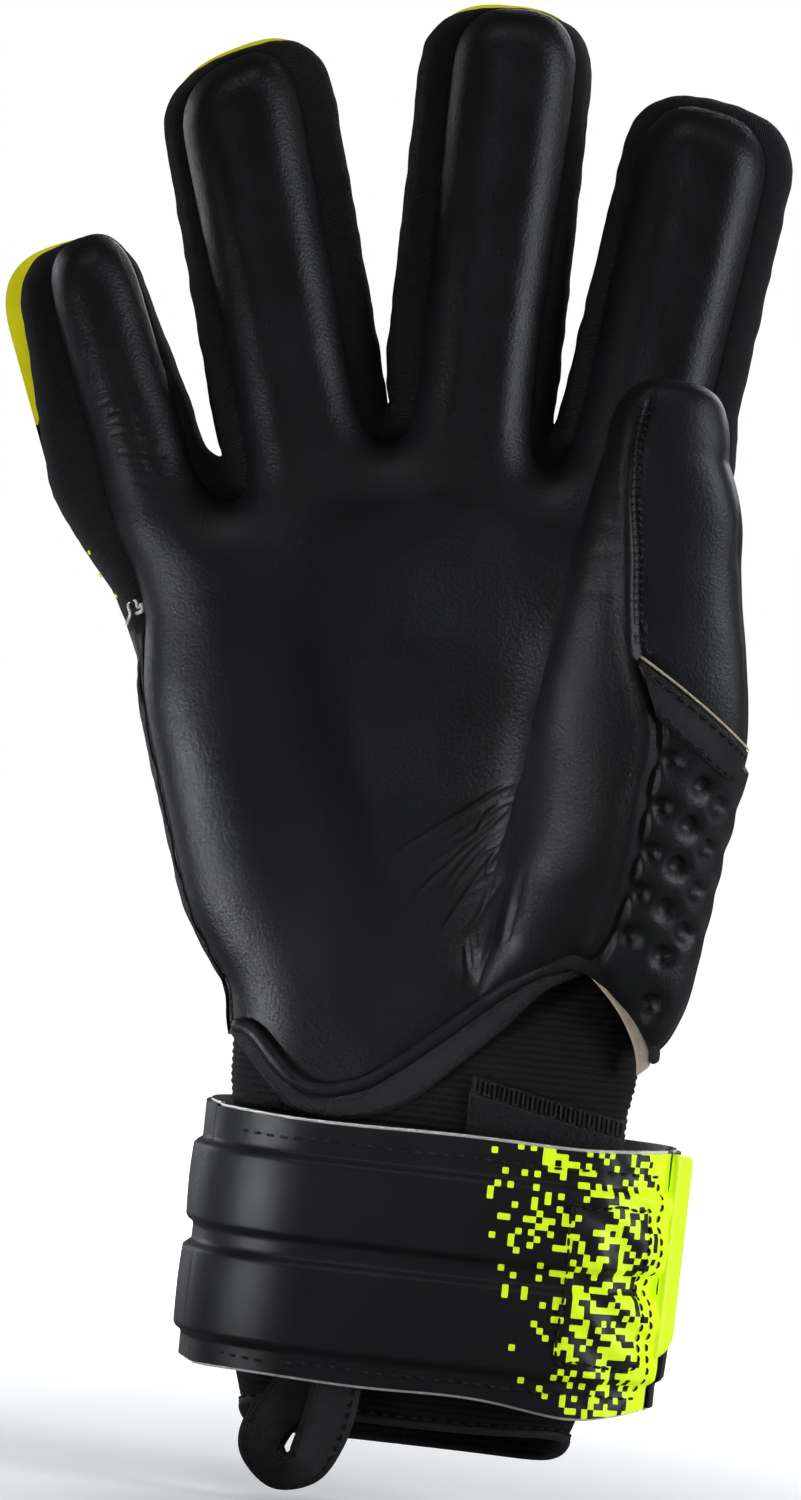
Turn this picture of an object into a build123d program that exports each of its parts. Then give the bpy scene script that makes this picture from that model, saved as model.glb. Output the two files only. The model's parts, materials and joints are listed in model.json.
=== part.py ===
"""A right-hand goalkeeper glove, empty and open, as the separate panels it is sewn from.

Millimetres. The origin is the centre of the hand opening, level with the cuff. +Z points to the
fingertips, +X to the thumb side, and -Y is the palm side. Soft panels are plain closed slabs of their
real size and place. The fingers, thumb, hand, strap and pull loop are separate bodies, and their ends
are cut back so that each can turn on its hinge.
"""

import os
from dataclasses import dataclass
from math import cos, radians, sin, tan

from build123d import *

# ---------------------------------------------------------------- driving dimensions
LATEX = 4.0  # latex foam of the palm, fingers and backhand
LINING = 1.0
KNIT = 2.0  # side panels and wrist elastic
GAP = 0.6  # free gap on each side of a hinge
FAR = 200.0  # longer than any piece

HAND_HALF = 17.0  # half the depth of the empty hand
FINGER_HALF = 13.0  # half the depth of a finger
FINGER_HINGE_Y = -7.0  # finger hinges lie towards the palm side
KNUCKLE_FLEX, KNUCKLE_EXTEND = 70.0, 10.0  # degrees
FINGER_FLEX = 80.0  # degrees
FACE_INSET = 4.5  # the latex face is this much narrower than its finger, each side
BACK_INSET = 1.5  # the back panel likewise

THUMB_ROOT = (29.0, -32.0, 146.0)  # on the thumb's centre line, where it turns on the hand
THUMB_TILT = 14.0  # degrees that the thumb leans towards the palm side
THUMB_HALF = 12.0  # half the depth of the thumb
THUMB_OUT, THUMB_IN = 45.0, 15.0  # degrees
THUMB_RISE = 9.0  # degrees that the thumb's lower edge rises on its outer side
THUMB_FLEX = 45.0  # degrees
THUMB_JOINT = (-6.0, 30.0)  # the tip's hinge, in the thumb's own plane
SEAM_X = -3.5  # where the thumb's two panels meet, in the thumb's own plane

STRAP_LOW, STRAP_HIGH = 11.0, 60.0
STRAP_FLAT, STRAP_OUTER = 24.5, 24.0  # half the flat length and the outer radius of the closed strap
STRAP_FACE, STRAP_FOAM = 2.5, 2.0  # latex face and foam backing
STRAP_GROOVE = (33.0, 37.0)  # between the two raised bands, in Z
STRAP_ROOT_ANGLE = -130.0  # degrees round the little finger side, where the strap starts to open
STRAP_END_ANGLE = -26.0  # degrees round the thumb side, where the free end stops
STRAP_PEEL_X = 9.2  # where the free end peels

CUFF_FLAT, CUFF_OUTER = 22.0, 16.0  # wrist elastic under the strap
HEM_FLAT, HEM_OUTER = 17.5, 15.0  # the hand opening, below the strap
HEM_LOW, HEM_HIGH = -3.0, 14.0
HEM_SLANT = [(-60.0, 14.5), (60.0, -13.5)]  # (y, z): the hem is lower at the back
# (x, z) of what the elastic's front leaves free below the palm's point
NOTCH = [(-60.0, 80.0), (-60.0, 58.0), (-42.0, 51.0), (-32.0, 47.0), (-10.0, 47.0), (5.0, 80.0)]
LOOP_BACK, LOOP_TAPE = -17.8, 2.4  # the pull loop hangs in front of the hem


@dataclass
class Finger:
    """One finger. (x, z) is on its centre line at the crotch, and lean is in degrees from +Z to +X.

    Points along the finger are given as (along, across), measured from (x, z).
    """

    x: float
    z: float
    lean: float
    root_half: float  # half widths of the two segments
    tip_half: float
    knuckle: float  # distances along the finger
    middle: float
    length: float

    def point(self, along, across):
        s, c = sin(radians(self.lean)), cos(radians(self.lean))
        return (self.x + along * s + across * c, self.z + along * c - across * s)

    def side_plane(self):
        """The plane of (y, along), square to the finger's hinges."""
        s, c = sin(radians(self.lean)), cos(radians(self.lean))
        return Plane(origin=(self.x, 0, self.z), x_dir=(0, 1, 0), z_dir=(c, 0, -s))


FINGERS = {
    "little": Finger(-75.5, 186.0, -21.0, 14.0, 13.0, 4.0, 22.0, 43.0),
    "ring": Finger(-42.7, 193.7, -16.5, 15.0, 13.8, 9.0, 37.0, 76.0),
    "middle": Finger(-10.7, 200.6, -0.5, 15.0, 13.8, 9.0, 39.0, 79.0),
    "index": Finger(23.6, 200.0, 6.4, 15.0, 13.8, 9.0, 35.0, 66.7),
}

os.makedirs("parts", exist_ok=True)


def save(builder, name):
    """Labels a finished piece and writes its STEP file."""
    builder.part.label = name
    export_step(builder.part, f"parts/{name}.step")


def facing(y_back):
    """The XZ plane at y_back. Extruding from it goes towards the palm side."""
    return Plane.XZ.offset(-y_back)


def slab(outline, y_back, thickness):
    """A flat panel: a closed outline of (x, z) points, from y_back forward by thickness."""
    with BuildPart() as panel:
        with BuildSketch(facing(y_back)):
            Polygon(*outline, align=None)
        extrude(amount=thickness)
    return panel


# ---------------------------------------------------------------- fingers
def hinge_line(along, fold, unfold, side, depth):
    """(y, along) points of an end at a hinge. side is +1 above the hinge, -1 below it."""
    rise_front = (depth + FINGER_HINGE_Y) * tan(radians(fold / 2))
    rise_back = (depth - FINGER_HINGE_Y) * tan(radians(unfold / 2))
    return [
        (-depth, along + side * (GAP + rise_front)),
        (FINGER_HINGE_Y, along + side * GAP),
        (depth, along + side * (GAP + rise_back)),
    ]


def finger_layer(finger, segment, inset, y_back, thickness, wall=0.0):
    """One layer of a finger segment, cut at its hinges. With wall it is only the rim."""
    depth = FINGER_HALF + 1.0
    if segment == "tip":
        half, low, high = finger.tip_half - inset, finger.middle, finger.length - inset
        low_end = hinge_line(low, FINGER_FLEX, 0, 1, depth)
        high_end = [(-depth, high + 1), (depth, high + 1)]
    else:
        half, low, high = finger.root_half - inset, finger.knuckle, finger.middle + 9.0
        low_end = hinge_line(low, KNUCKLE_FLEX, KNUCKLE_EXTEND, 1, depth)
        high_end = hinge_line(finger.middle, FINGER_FLEX, 0, -1, depth)
    foot = low - 9.0
    corners = [finger.point(foot, -half), finger.point(foot, half)]
    corners += [finger.point(high, half), finger.point(high, -half)]
    with BuildPart() as layer:
        with BuildSketch(facing(y_back)) as face:
            Polygon(*corners, align=None)
            if segment == "tip":
                fillet(face.vertices().sort_by(Axis.Y)[-2:], 0.7 * half)
            if wall:
                offset(amount=-wall, mode=Mode.SUBTRACT)
        extrude(amount=thickness)
        with BuildSketch(finger.side_plane()):
            Polygon(*low_end, *reversed(high_end), align=None)
        extrude(amount=FAR, both=True, mode=Mode.INTERSECT)
    return layer


FINGER_INSIDE = FINGER_HALF - LATEX
for name, finger in FINGERS.items():
    for segment in ("root", "tip"):
        save(finger_layer(finger, segment, FACE_INSET, -FINGER_INSIDE, LATEX), f"{name}_{segment}_face")
        sides = finger_layer(finger, segment, 0, FINGER_INSIDE, 2 * FINGER_INSIDE, wall=KNIT)
        save(sides, f"{name}_{segment}_gusset")
        save(finger_layer(finger, segment, BACK_INSET, FINGER_HALF, LATEX), f"{name}_{segment}_back")


# ---------------------------------------------------------------- hand
CROTCHES = {  # where two neighbouring finger panels meet
    "little_ring": (-54.5, 178.5),
    "ring_middle": (-26.1, 193.0),
    "middle_index": (5.4, 191.8),
}
PALM_FOOT = [(-70.5, 147.0), (-61.0, 116.5), (-49.3, 90.2), (-39.3, 76.2), (-31.5, 67.8)]
PALM_FOOT += [(-25.0, 66.0), (-18.0, 67.6), (7.4, 88.6), (20.0, 95.5), (36.0, 99.0)]
BACK_FOOT = [(-70.5, 147.0), (-61.0, 116.5), (-49.3, 90.2), (-43.0, 78.0), (36.0, 78.0), (38.0, 99.0)]
THUMB_SIDE = [(40.0, 125.0), (38.5, 165.0)]
THUMB_HOLE = [(14.0, 112.0), (36.0, 112.0), (36.0, 140.0), (14.0, 140.0)]


def hand_outline(foot, drop, inset):
    """A hand panel: its foot, the thumb side, then the finger roots, drop below each knuckle."""
    tops = []
    for finger in reversed(FINGERS.values()):
        along, half = finger.knuckle - drop, finger.root_half - inset
        tops.append([finger.point(along, half), finger.point(along, -half)])
    index, middle, ring, little = tops
    index_middle, middle_ring, ring_little = reversed(CROTCHES.values())
    return [*foot, *THUMB_SIDE, *index, index_middle, *middle, middle_ring, *ring, ring_little, *little]


front_drop = -hinge_line(0, KNUCKLE_FLEX, 0, -1, HAND_HALF)[0][1] + 0.4
back_drop = -hinge_line(0, 0, KNUCKLE_EXTEND, -1, HAND_HALF)[2][1] + 0.4
INSIDE = HAND_HALF - LATEX - LINING  # half the depth between the linings

for name, y_back, thickness in (("palm_latex", -INSIDE - LINING, LATEX), ("palm_lining", -INSIDE, LINING)):
    with BuildPart() as palm_layer:
        with BuildSketch(facing(y_back)):
            Polygon(*hand_outline(PALM_FOOT, front_drop, FACE_INSET), align=None)
            Polygon(*THUMB_HOLE, align=None, mode=Mode.SUBTRACT)
        extrude(amount=thickness)
    save(palm_layer, name)

back_outline = hand_outline(BACK_FOOT, back_drop, BACK_INSET)
save(slab(back_outline, HAND_HALF, LATEX), "backhand_panel")
save(slab(back_outline, HAND_HALF - LATEX, LINING), "backhand_lining")


def standing_strip(path):
    """A knit side panel: a thick line along (x, z) points, filling the depth between the linings."""
    with BuildPart() as panel:
        with BuildSketch(facing(INSIDE)):
            with BuildLine() as line:
                Polyline(*path)
            trace(line.line, line_width=KNIT)
        extrude(amount=2 * INSIDE)
    return panel


little, index = FINGERS["little"], FINGERS["index"]
little_side = [little.point(-1.5, -12.0), (-69.0, 147.0), (-59.5, 116.5), (-48.0, 90.2), (-43.5, 82.0)]
save(standing_strip(little_side), "little_side_gusset")
thumb_side = [index.point(4.0, 13.0), (36.8, 160.0), (38.4, 125.0), (36.0, 101.0)]
save(standing_strip(thumb_side), "thumb_side_gusset")
for name, (x, z) in CROTCHES.items():
    save(standing_strip([(x - 3.5, z + 5.5), (x, z - 1.0), (x + 3.5, z + 5.5)]), f"{name}_gusset")

BINDING = [(21.5, 92.0), (9.0, 83.5), (-6.0, 67.5), (-17.0, 61.8), (-26.0, 61.0), (-35.0, 64.5)]
BINDING += [(-45.5, 75.8)]
save(slab([*PALM_FOOT[3:9], *BINDING], -INSIDE, LATEX + LINING + 0.5), "palm_binding")

with BuildPart() as hand_elastic:
    with BuildSketch(Plane.XY.offset(80.0)):
        with Locations((-4.0, 0)):
            SlotCenterToCenter(48.0, 2 * INSIDE)
            SlotCenterToCenter(48.0, 2 * (INSIDE - KNIT), mode=Mode.SUBTRACT)
    extrude(amount=14.0)
save(hand_elastic, "hand_wrist_elastic")

# ---------------------------------------------------------------- thumb hinges
tilt_sin, tilt_cos = sin(radians(THUMB_TILT)), cos(radians(THUMB_TILT))
thumb_plane = Plane(origin=THUMB_ROOT, x_dir=(1, 0, 0), z_dir=(0, -tilt_cos, -tilt_sin))


def sideways_line(x, along, left, right, side):
    """(x, along) points of an end at a thumb hinge. It slopes away by left and right degrees."""
    reach = 40.0
    rise_left, rise_right = reach * tan(radians(left)), reach * tan(radians(right))
    return [
        (x - reach, along + side * (GAP + rise_left)),
        (x, along + side * GAP),
        (x + reach, along + side * (GAP + rise_right)),
    ]


HAND_END = sideways_line(0, 0, THUMB_IN / 2, THUMB_OUT - THUMB_RISE, -1)
THUMB_LOW = sideways_line(0, 0, THUMB_IN / 2, THUMB_RISE, 1)
THUMB_MID = sideways_line(*THUMB_JOINT, THUMB_FLEX / 2, 0, -1)
THUMB_HIGH = sideways_line(*THUMB_JOINT, THUMB_FLEX / 2, 0, 1)
THUMB_END = [(-40.0, 80.0), (40.0, 80.0)]


# ---------------------------------------------------------------- thumb base and dimpled pad
PAD_SEAM = [(31.3, 145.9), (26.7, 101.4)]  # between the palm latex and the dimpled pad
MOUND = [(21.0, 97.0), (9.0, 128.0), (8.4, 150.0), (50.2, 150.0), (50.2, 130.2)]
MOUND += [(48.5, 112.0), (45.1, 90.0), (41.4, 83.0)]
MOUND_INSIDE = [(24.0, 104.0), (14.0, 128.0), (13.0, 150.0), (45.0, 150.0), (45.0, 127.0)]
MOUND_INSIDE += [(44.0, 112.0), (41.0, 95.0)]
SLOPE_LOW, SLOPE_HIGH = (-20.0, 82.0), (-44.0, 147.0)  # (y, z) of the mound's face
slope = Plane(
    origin=(0, *SLOPE_LOW),
    x_dir=(1, 0, 0),
    z_dir=(0, SLOPE_LOW[1] - SLOPE_HIGH[1], SLOPE_HIGH[0] - SLOPE_LOW[0]),
)


def mound(outline, inset):
    """The thumb base: a wedge in front of the palm, its face set back by inset."""
    profile = [(-HAND_HALF, 160.0), (-HAND_HALF, 80.0)]
    profile += [(SLOPE_LOW[0] + inset, SLOPE_LOW[1]), (SLOPE_HIGH[0] + inset, SLOPE_HIGH[1])]
    with BuildPart() as wedge:
        with BuildSketch(Plane.YZ):
            Polygon(*profile, align=None)
        extrude(amount=FAR, both=True)
        with BuildSketch(facing(0)):
            Polygon(*outline, align=None)
        extrude(amount=FAR, mode=Mode.INTERSECT)
        with BuildSketch(thumb_plane):
            Polygon(*HAND_END, (60.0, -FAR), (-60.0, -FAR), align=None)
        extrude(amount=FAR, both=True, mode=Mode.INTERSECT)
    return wedge


outer_mound = mound(MOUND, 0)
inner_mound = mound(MOUND_INSIDE, LATEX)
seam_run = (PAD_SEAM[0][0] - PAD_SEAM[1][0], PAD_SEAM[0][1] - PAD_SEAM[1][1])
seam_plane = Plane(
    origin=(PAD_SEAM[0][0], 0, PAD_SEAM[0][1]),
    x_dir=(0, 1, 0),
    z_dir=(-seam_run[1], 0, seam_run[0]),
)

with BuildPart() as thenar_panel:
    add(outer_mound.part)
    add(inner_mound.part, mode=Mode.SUBTRACT)
    split(bisect_by=seam_plane, keep=Keep.TOP)
save(thenar_panel, "thenar_panel")

DIMPLE_COLUMNS = {33.0: 25.0, 38.2: 20.0, 43.4: 25.0}  # x, and distance of the lowest up the slope
DIMPLE_PITCH, DIMPLE_RADIUS, DIMPLE_DEPTH = 10.0, 1.9, 1.2
dimples = [(x, first + row * DIMPLE_PITCH) for x, first in DIMPLE_COLUMNS.items() for row in range(4)]
with BuildPart() as dimple_pad:
    add(outer_mound.part)
    add(inner_mound.part, mode=Mode.SUBTRACT)
    split(bisect_by=seam_plane, keep=Keep.BOTTOM)
    with BuildSketch(slope):
        with Locations(*dimples):
            Circle(DIMPLE_RADIUS)
    extrude(amount=-DIMPLE_DEPTH, mode=Mode.SUBTRACT)
save(dimple_pad, "dimple_pad")

# The tape over the pad's upper edge lies on the slope, below the thumb.
TAPE = [(31.0, 150.0), (50.2, 150.0), (50.2, 124.0), (31.0, 138.0)]
TAPE_THICK = 1.2
outer_tape, inner_tape = mound(TAPE, -TAPE_THICK), mound(TAPE, 0)
with BuildPart() as pad_binding:
    add(outer_tape.part)
    add(inner_tape.part, mode=Mode.SUBTRACT)
save(pad_binding, "pad_binding")

PAD_LINER = [(21.0, 97.0), (41.4, 83.0), (37.0, 78.0), (27.0, 86.5)]
save(slab(PAD_LINER, -HAND_HALF, 1.0), "pad_liner")


# ---------------------------------------------------------------- thumb
THUMB_OUTLINE = [(21.0, -12.0), (21.0, 0), (17.8, 17.0), (15.2, 29.0), (15.0, 39.0), (11.9, 53.4)]
THUMB_OUTLINE += [(7.0, 62.0), (-5.1, 64.5), (-12.3, 58.6), (-14.7, 45.3), (-17.9, 27.6)]
THUMB_OUTLINE += [(-20.6, 4.6), (-20.6, -12.0)]


def thumb_panel(low_end, high_end, side):
    """One panel of a thumb segment: half of a hollow shell, cut at the seam and the hinges."""
    inside = THUMB_HALF - LATEX
    with BuildPart() as shell:
        with BuildSketch(thumb_plane.offset(-THUMB_HALF)):
            Polygon(*THUMB_OUTLINE, align=None)
        extrude(amount=2 * THUMB_HALF)
        fillet(shell.faces().filter_by(thumb_plane).edges(), 4.0)
        with BuildSketch(thumb_plane.offset(-inside)):
            Polygon(*THUMB_OUTLINE, align=None)
            offset(amount=-LATEX, mode=Mode.REPLACE)
        extrude(amount=2 * inside, mode=Mode.SUBTRACT)
        with BuildSketch(thumb_plane):
            Polygon(*low_end, *reversed(high_end), align=None)
        extrude(amount=FAR, both=True, mode=Mode.INTERSECT)
        split(bisect_by=Plane.YZ.offset(THUMB_ROOT[0] + SEAM_X), keep=side)
    return shell


save(thumb_panel(THUMB_LOW, THUMB_MID, Keep.BOTTOM), "thumb_root_palm_panel")
save(thumb_panel(THUMB_LOW, THUMB_MID, Keep.TOP), "thumb_root_back_panel")
save(thumb_panel(THUMB_HIGH, THUMB_END, Keep.BOTTOM), "thumb_tip_palm_panel")
save(thumb_panel(THUMB_HIGH, THUMB_END, Keep.TOP), "thumb_tip_back_panel")


# ---------------------------------------------------------------- wrist strap
def ray(centre_x, angle):
    """A far point in the direction angle, in degrees from +X, from a centre on the X axis."""
    return (centre_x + FAR * cos(radians(angle)), FAR * sin(radians(angle)))


def wrapped_layer(region, flat, outer, inner, low, high):
    """Part of a layer that goes round the wrist: a stadium ring in XY, kept inside region."""
    with BuildPart() as layer:
        with BuildSketch(Plane.XY.offset(low)):
            SlotCenterToCenter(2 * flat, 2 * outer)
            SlotCenterToCenter(2 * flat, 2 * inner, mode=Mode.SUBTRACT)
            Polygon(*region, align=None, mode=Mode.INTERSECT)
        extrude(amount=high - low)
    return layer


left_x, right_x = -STRAP_FLAT, STRAP_FLAT
FRONT_REGION = [(left_x, 0), ray(left_x, STRAP_ROOT_ANGLE), (STRAP_PEEL_X - GAP, -FAR)]
FRONT_REGION += [(STRAP_PEEL_X - GAP, 0)]
END_REGION = [(STRAP_PEEL_X + GAP, 0), (STRAP_PEEL_X + GAP, -FAR), (FAR, -FAR), ray(right_x, STRAP_END_ANGLE)]
END_REGION += [(right_x, 0)]
BACK_REGION = [(left_x, 0), ray(left_x, STRAP_ROOT_ANGLE - 2.0), (-FAR, FAR), (FAR, FAR)]
BACK_REGION += [ray(right_x, STRAP_END_ANGLE + 4.0), (right_x, 0)]
STRAP_MIDDLE = STRAP_OUTER - STRAP_FACE
STRAP_INNER = STRAP_MIDDLE - STRAP_FOAM

for name, region in (("front", FRONT_REGION), ("end", END_REGION), ("back", BACK_REGION)):
    face = wrapped_layer(region, STRAP_FLAT, STRAP_OUTER, STRAP_MIDDLE, STRAP_LOW, STRAP_HIGH)
    groove = wrapped_layer(region, STRAP_FLAT, STRAP_OUTER, STRAP_OUTER - 0.8, *STRAP_GROOVE)
    with BuildPart() as strap_face:
        add(face.part)
        add(groove.part, mode=Mode.SUBTRACT)
    save(strap_face, f"strap_{name}_latex")
    foam = wrapped_layer(region, STRAP_FLAT, STRAP_MIDDLE, STRAP_INNER, STRAP_LOW, STRAP_HIGH)
    save(foam, f"strap_{name}_foam")

HOOK_REGION = [(13.0, 0), (13.0, -FAR), (42.0, -FAR), (42.0, 0)]
save(wrapped_layer(HOOK_REGION, STRAP_FLAT, STRAP_INNER, STRAP_INNER - 1.2, 15.0, 56.0), "hook_patch")
FLAP_REGION = [(right_x, 0), ray(right_x, -20.0), (FAR, 0), ray(right_x, 25.0)]
side_flap = wrapped_layer(FLAP_REGION, STRAP_FLAT, STRAP_OUTER + 1.0, STRAP_OUTER, 22.0, STRAP_HIGH)
save(side_flap, "strap_side_flap")


# ---------------------------------------------------------------- cuff
with BuildPart() as cuff_elastic:
    with BuildSketch(Plane.XY.offset(HEM_HIGH)):
        SlotCenterToCenter(2 * CUFF_FLAT, 2 * CUFF_OUTER)
        SlotCenterToCenter(2 * CUFF_FLAT, 2 * (CUFF_OUTER - KNIT), mode=Mode.SUBTRACT)
    extrude(amount=STRAP_HIGH - HEM_HIGH)
    with BuildSketch(facing(0)):
        Polygon(*NOTCH, align=None)
    extrude(amount=FAR, mode=Mode.SUBTRACT)
save(cuff_elastic, "cuff_elastic")

with BuildPart() as cuff_hem:
    for inset, mode in ((0, Mode.ADD), (KNIT, Mode.SUBTRACT)):
        with BuildSketch(Plane.XY.offset(HEM_LOW)) as opening:
            SlotCenterToCenter(2 * HEM_FLAT, 2 * (HEM_OUTER - inset))
        with BuildSketch(Plane.XY.offset(HEM_HIGH)) as cuff_end:
            SlotCenterToCenter(2 * CUFF_FLAT, 2 * (CUFF_OUTER - inset))
        loft(sections=[opening.sketch, cuff_end.sketch], mode=mode)
    with BuildSketch(Plane.YZ):
        Polygon(*HEM_SLANT, (60.0, 60.0), (-60.0, 60.0), align=None)
    extrude(amount=FAR, both=True, mode=Mode.INTERSECT)
save(cuff_hem, "cuff_hem")

PATCH_REGION = [(6.0, 0), (6.0, -FAR), (36.0, -FAR), (36.0, 0)]
PATCH_OUTER = CUFF_OUTER + 2.0
save(wrapped_layer(PATCH_REGION, CUFF_FLAT, PATCH_OUTER, CUFF_OUTER, 16.0, 60.0), "loop_patch")
save(wrapped_layer(PATCH_REGION, CUFF_FLAT, PATCH_OUTER, CUFF_OUTER, 60.0, 64.5), "loop_patch_hem")
save(slab([(-20, 20), (20, 20), (20, 50), (-20, 50)], STRAP_INNER, STRAP_INNER - CUFF_OUTER), "strap_anchor")

with BuildPart() as pull_loop:
    with BuildSketch(facing(LOOP_BACK)):
        with Locations((-22.3, -2.6)):
            Circle(10.8)
        Polygon((-19.5, 9.5), (-13.5, 9.5), (-12.0, -1.0), (-31.0, 2.5), align=None)
        with Locations((-23.2, -5.0)):
            Circle(2.4, mode=Mode.SUBTRACT)
    extrude(amount=LOOP_TAPE)
save(pull_loop, "pull_loop")
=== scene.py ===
"""The looks of a right-hand goalkeeper glove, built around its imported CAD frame.

Shapes are worked out in millimetres in the row's frame: +Z to the fingertips, +X to the thumb side,
-Y the palm side. Fingers are described along their own centre lines, which come from the joints.
"""

import json
import math

import bpy
import numpy as np
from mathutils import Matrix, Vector
from mathutils.geometry import delaunay_2d_cdt

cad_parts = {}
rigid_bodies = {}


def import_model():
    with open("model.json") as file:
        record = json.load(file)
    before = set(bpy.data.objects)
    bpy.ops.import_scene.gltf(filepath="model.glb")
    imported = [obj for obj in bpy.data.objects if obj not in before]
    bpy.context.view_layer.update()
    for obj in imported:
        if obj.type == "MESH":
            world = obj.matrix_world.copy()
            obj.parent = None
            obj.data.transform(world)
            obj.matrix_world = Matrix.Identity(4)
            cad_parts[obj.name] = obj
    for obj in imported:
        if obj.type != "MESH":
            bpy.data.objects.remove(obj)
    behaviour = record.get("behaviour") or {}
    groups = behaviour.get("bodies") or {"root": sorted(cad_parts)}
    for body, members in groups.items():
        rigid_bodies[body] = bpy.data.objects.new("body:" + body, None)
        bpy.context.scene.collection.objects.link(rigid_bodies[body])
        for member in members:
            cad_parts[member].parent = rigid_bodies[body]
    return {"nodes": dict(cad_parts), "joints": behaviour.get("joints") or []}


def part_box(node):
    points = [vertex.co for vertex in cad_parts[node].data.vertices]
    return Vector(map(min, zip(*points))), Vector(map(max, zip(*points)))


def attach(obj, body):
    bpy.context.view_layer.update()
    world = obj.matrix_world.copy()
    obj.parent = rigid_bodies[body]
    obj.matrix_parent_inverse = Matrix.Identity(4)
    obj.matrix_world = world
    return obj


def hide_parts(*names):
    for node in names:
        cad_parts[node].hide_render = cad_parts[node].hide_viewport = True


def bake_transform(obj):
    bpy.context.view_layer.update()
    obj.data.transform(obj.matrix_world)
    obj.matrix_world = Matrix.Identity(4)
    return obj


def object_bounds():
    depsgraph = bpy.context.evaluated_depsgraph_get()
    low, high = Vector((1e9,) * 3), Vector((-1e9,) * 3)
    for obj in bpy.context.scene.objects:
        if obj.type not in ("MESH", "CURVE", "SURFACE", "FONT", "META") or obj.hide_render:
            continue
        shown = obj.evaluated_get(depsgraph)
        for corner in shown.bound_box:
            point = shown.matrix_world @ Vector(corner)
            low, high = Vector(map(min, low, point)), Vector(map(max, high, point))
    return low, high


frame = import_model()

CAD_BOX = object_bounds()
MM = 0.001
JOINTS = {j["name"]: j for j in frame["joints"]}
SHEET_STEP = 1.15  # spacing of the points of a latex sheet
LATEX, KNIT, ELASTIC = 2.0, 1.3, 1.2  # mm, thickness of the sheets of each


# ================================================================ small maths
def times(colour, factor):
    return [c * factor for c in colour]


def smooth(t):
    """0 to 1 with level ends."""
    t = np.clip(t, 0, 1)
    return t * t * (3 - 2 * t)


def rolled(t):
    """Height of a quarter-round edge: 0 at t 0, 1 at t 1 and beyond."""
    t = np.clip(t, 0, 1)
    return np.sqrt(np.clip(1 - (1 - t) ** 2, 0, 1))


def bell(x, width):
    return np.exp(-((x / width) ** 2))


def profile(points, x):
    """A smooth curve through (x, value) points."""
    xs, ys = np.array(points, float).T
    slopes = np.gradient(ys, xs)
    i = np.clip(np.searchsorted(xs, x) - 1, 0, len(xs) - 2)
    h = xs[i + 1] - xs[i]
    t = np.clip((x - xs[i]) / h, 0, 1)
    a = (1 + 2 * t) * (1 - t) ** 2 * ys[i] + t * (1 - t) ** 2 * h * slopes[i]
    return a + t * t * (3 - 2 * t) * ys[i + 1] + t * t * (t - 1) * h * slopes[i + 1]


def curve_through(points, count):
    """count points, evenly spaced, on a Catmull-Rom curve through the given points."""
    p = np.array(points, float)
    p = np.vstack([2 * p[0] - p[1], p, 2 * p[-1] - p[-2]])
    t = np.linspace(0, 1, 24, endpoint=False)[:, None]
    fine = []
    for a, b, c, d in zip(p[:-3], p[1:-2], p[2:-1], p[3:]):
        m0, m1 = (c - a) / 2, (d - b) / 2
        fine.append((1 + 2 * t) * (1 - t) ** 2 * b + t * (1 - t) ** 2 * m0
                    + t * t * (3 - 2 * t) * c + t * t * (t - 1) * m1)
    fine = np.vstack([*fine, p[-2:-1]])
    return resample(fine, count)


def resample(points, count):
    """count points, evenly spaced along a polyline."""
    gaps = np.linalg.norm(np.diff(points, axis=0), axis=1)
    run = np.concatenate([[0], np.cumsum(gaps)])
    want = np.linspace(0, run[-1], count)
    return np.stack([np.interp(want, run, points[:, k]) for k in range(points.shape[1])], axis=1)


def run_length(points):
    gaps = np.linalg.norm(np.diff(points, axis=0), axis=1)
    return np.concatenate([[0], np.cumsum(gaps)])


def distance_to(line, points):
    """Distance from each 2-D point to a polyline."""
    a, b = line[:-1], line[1:]
    ab = b - a
    size = np.maximum((ab * ab).sum(1), 1e-9)
    best = np.full(len(points), 1e9)
    for start in range(0, len(points), 2000):
        p = points[start:start + 2000, None, :]
        t = np.clip(((p - a) * ab).sum(2) / size, 0, 1)
        gap = p - (a + t[..., None] * ab)
        best[start:start + 2000] = np.sqrt((gap * gap).sum(2).min(1))
    return best


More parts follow.
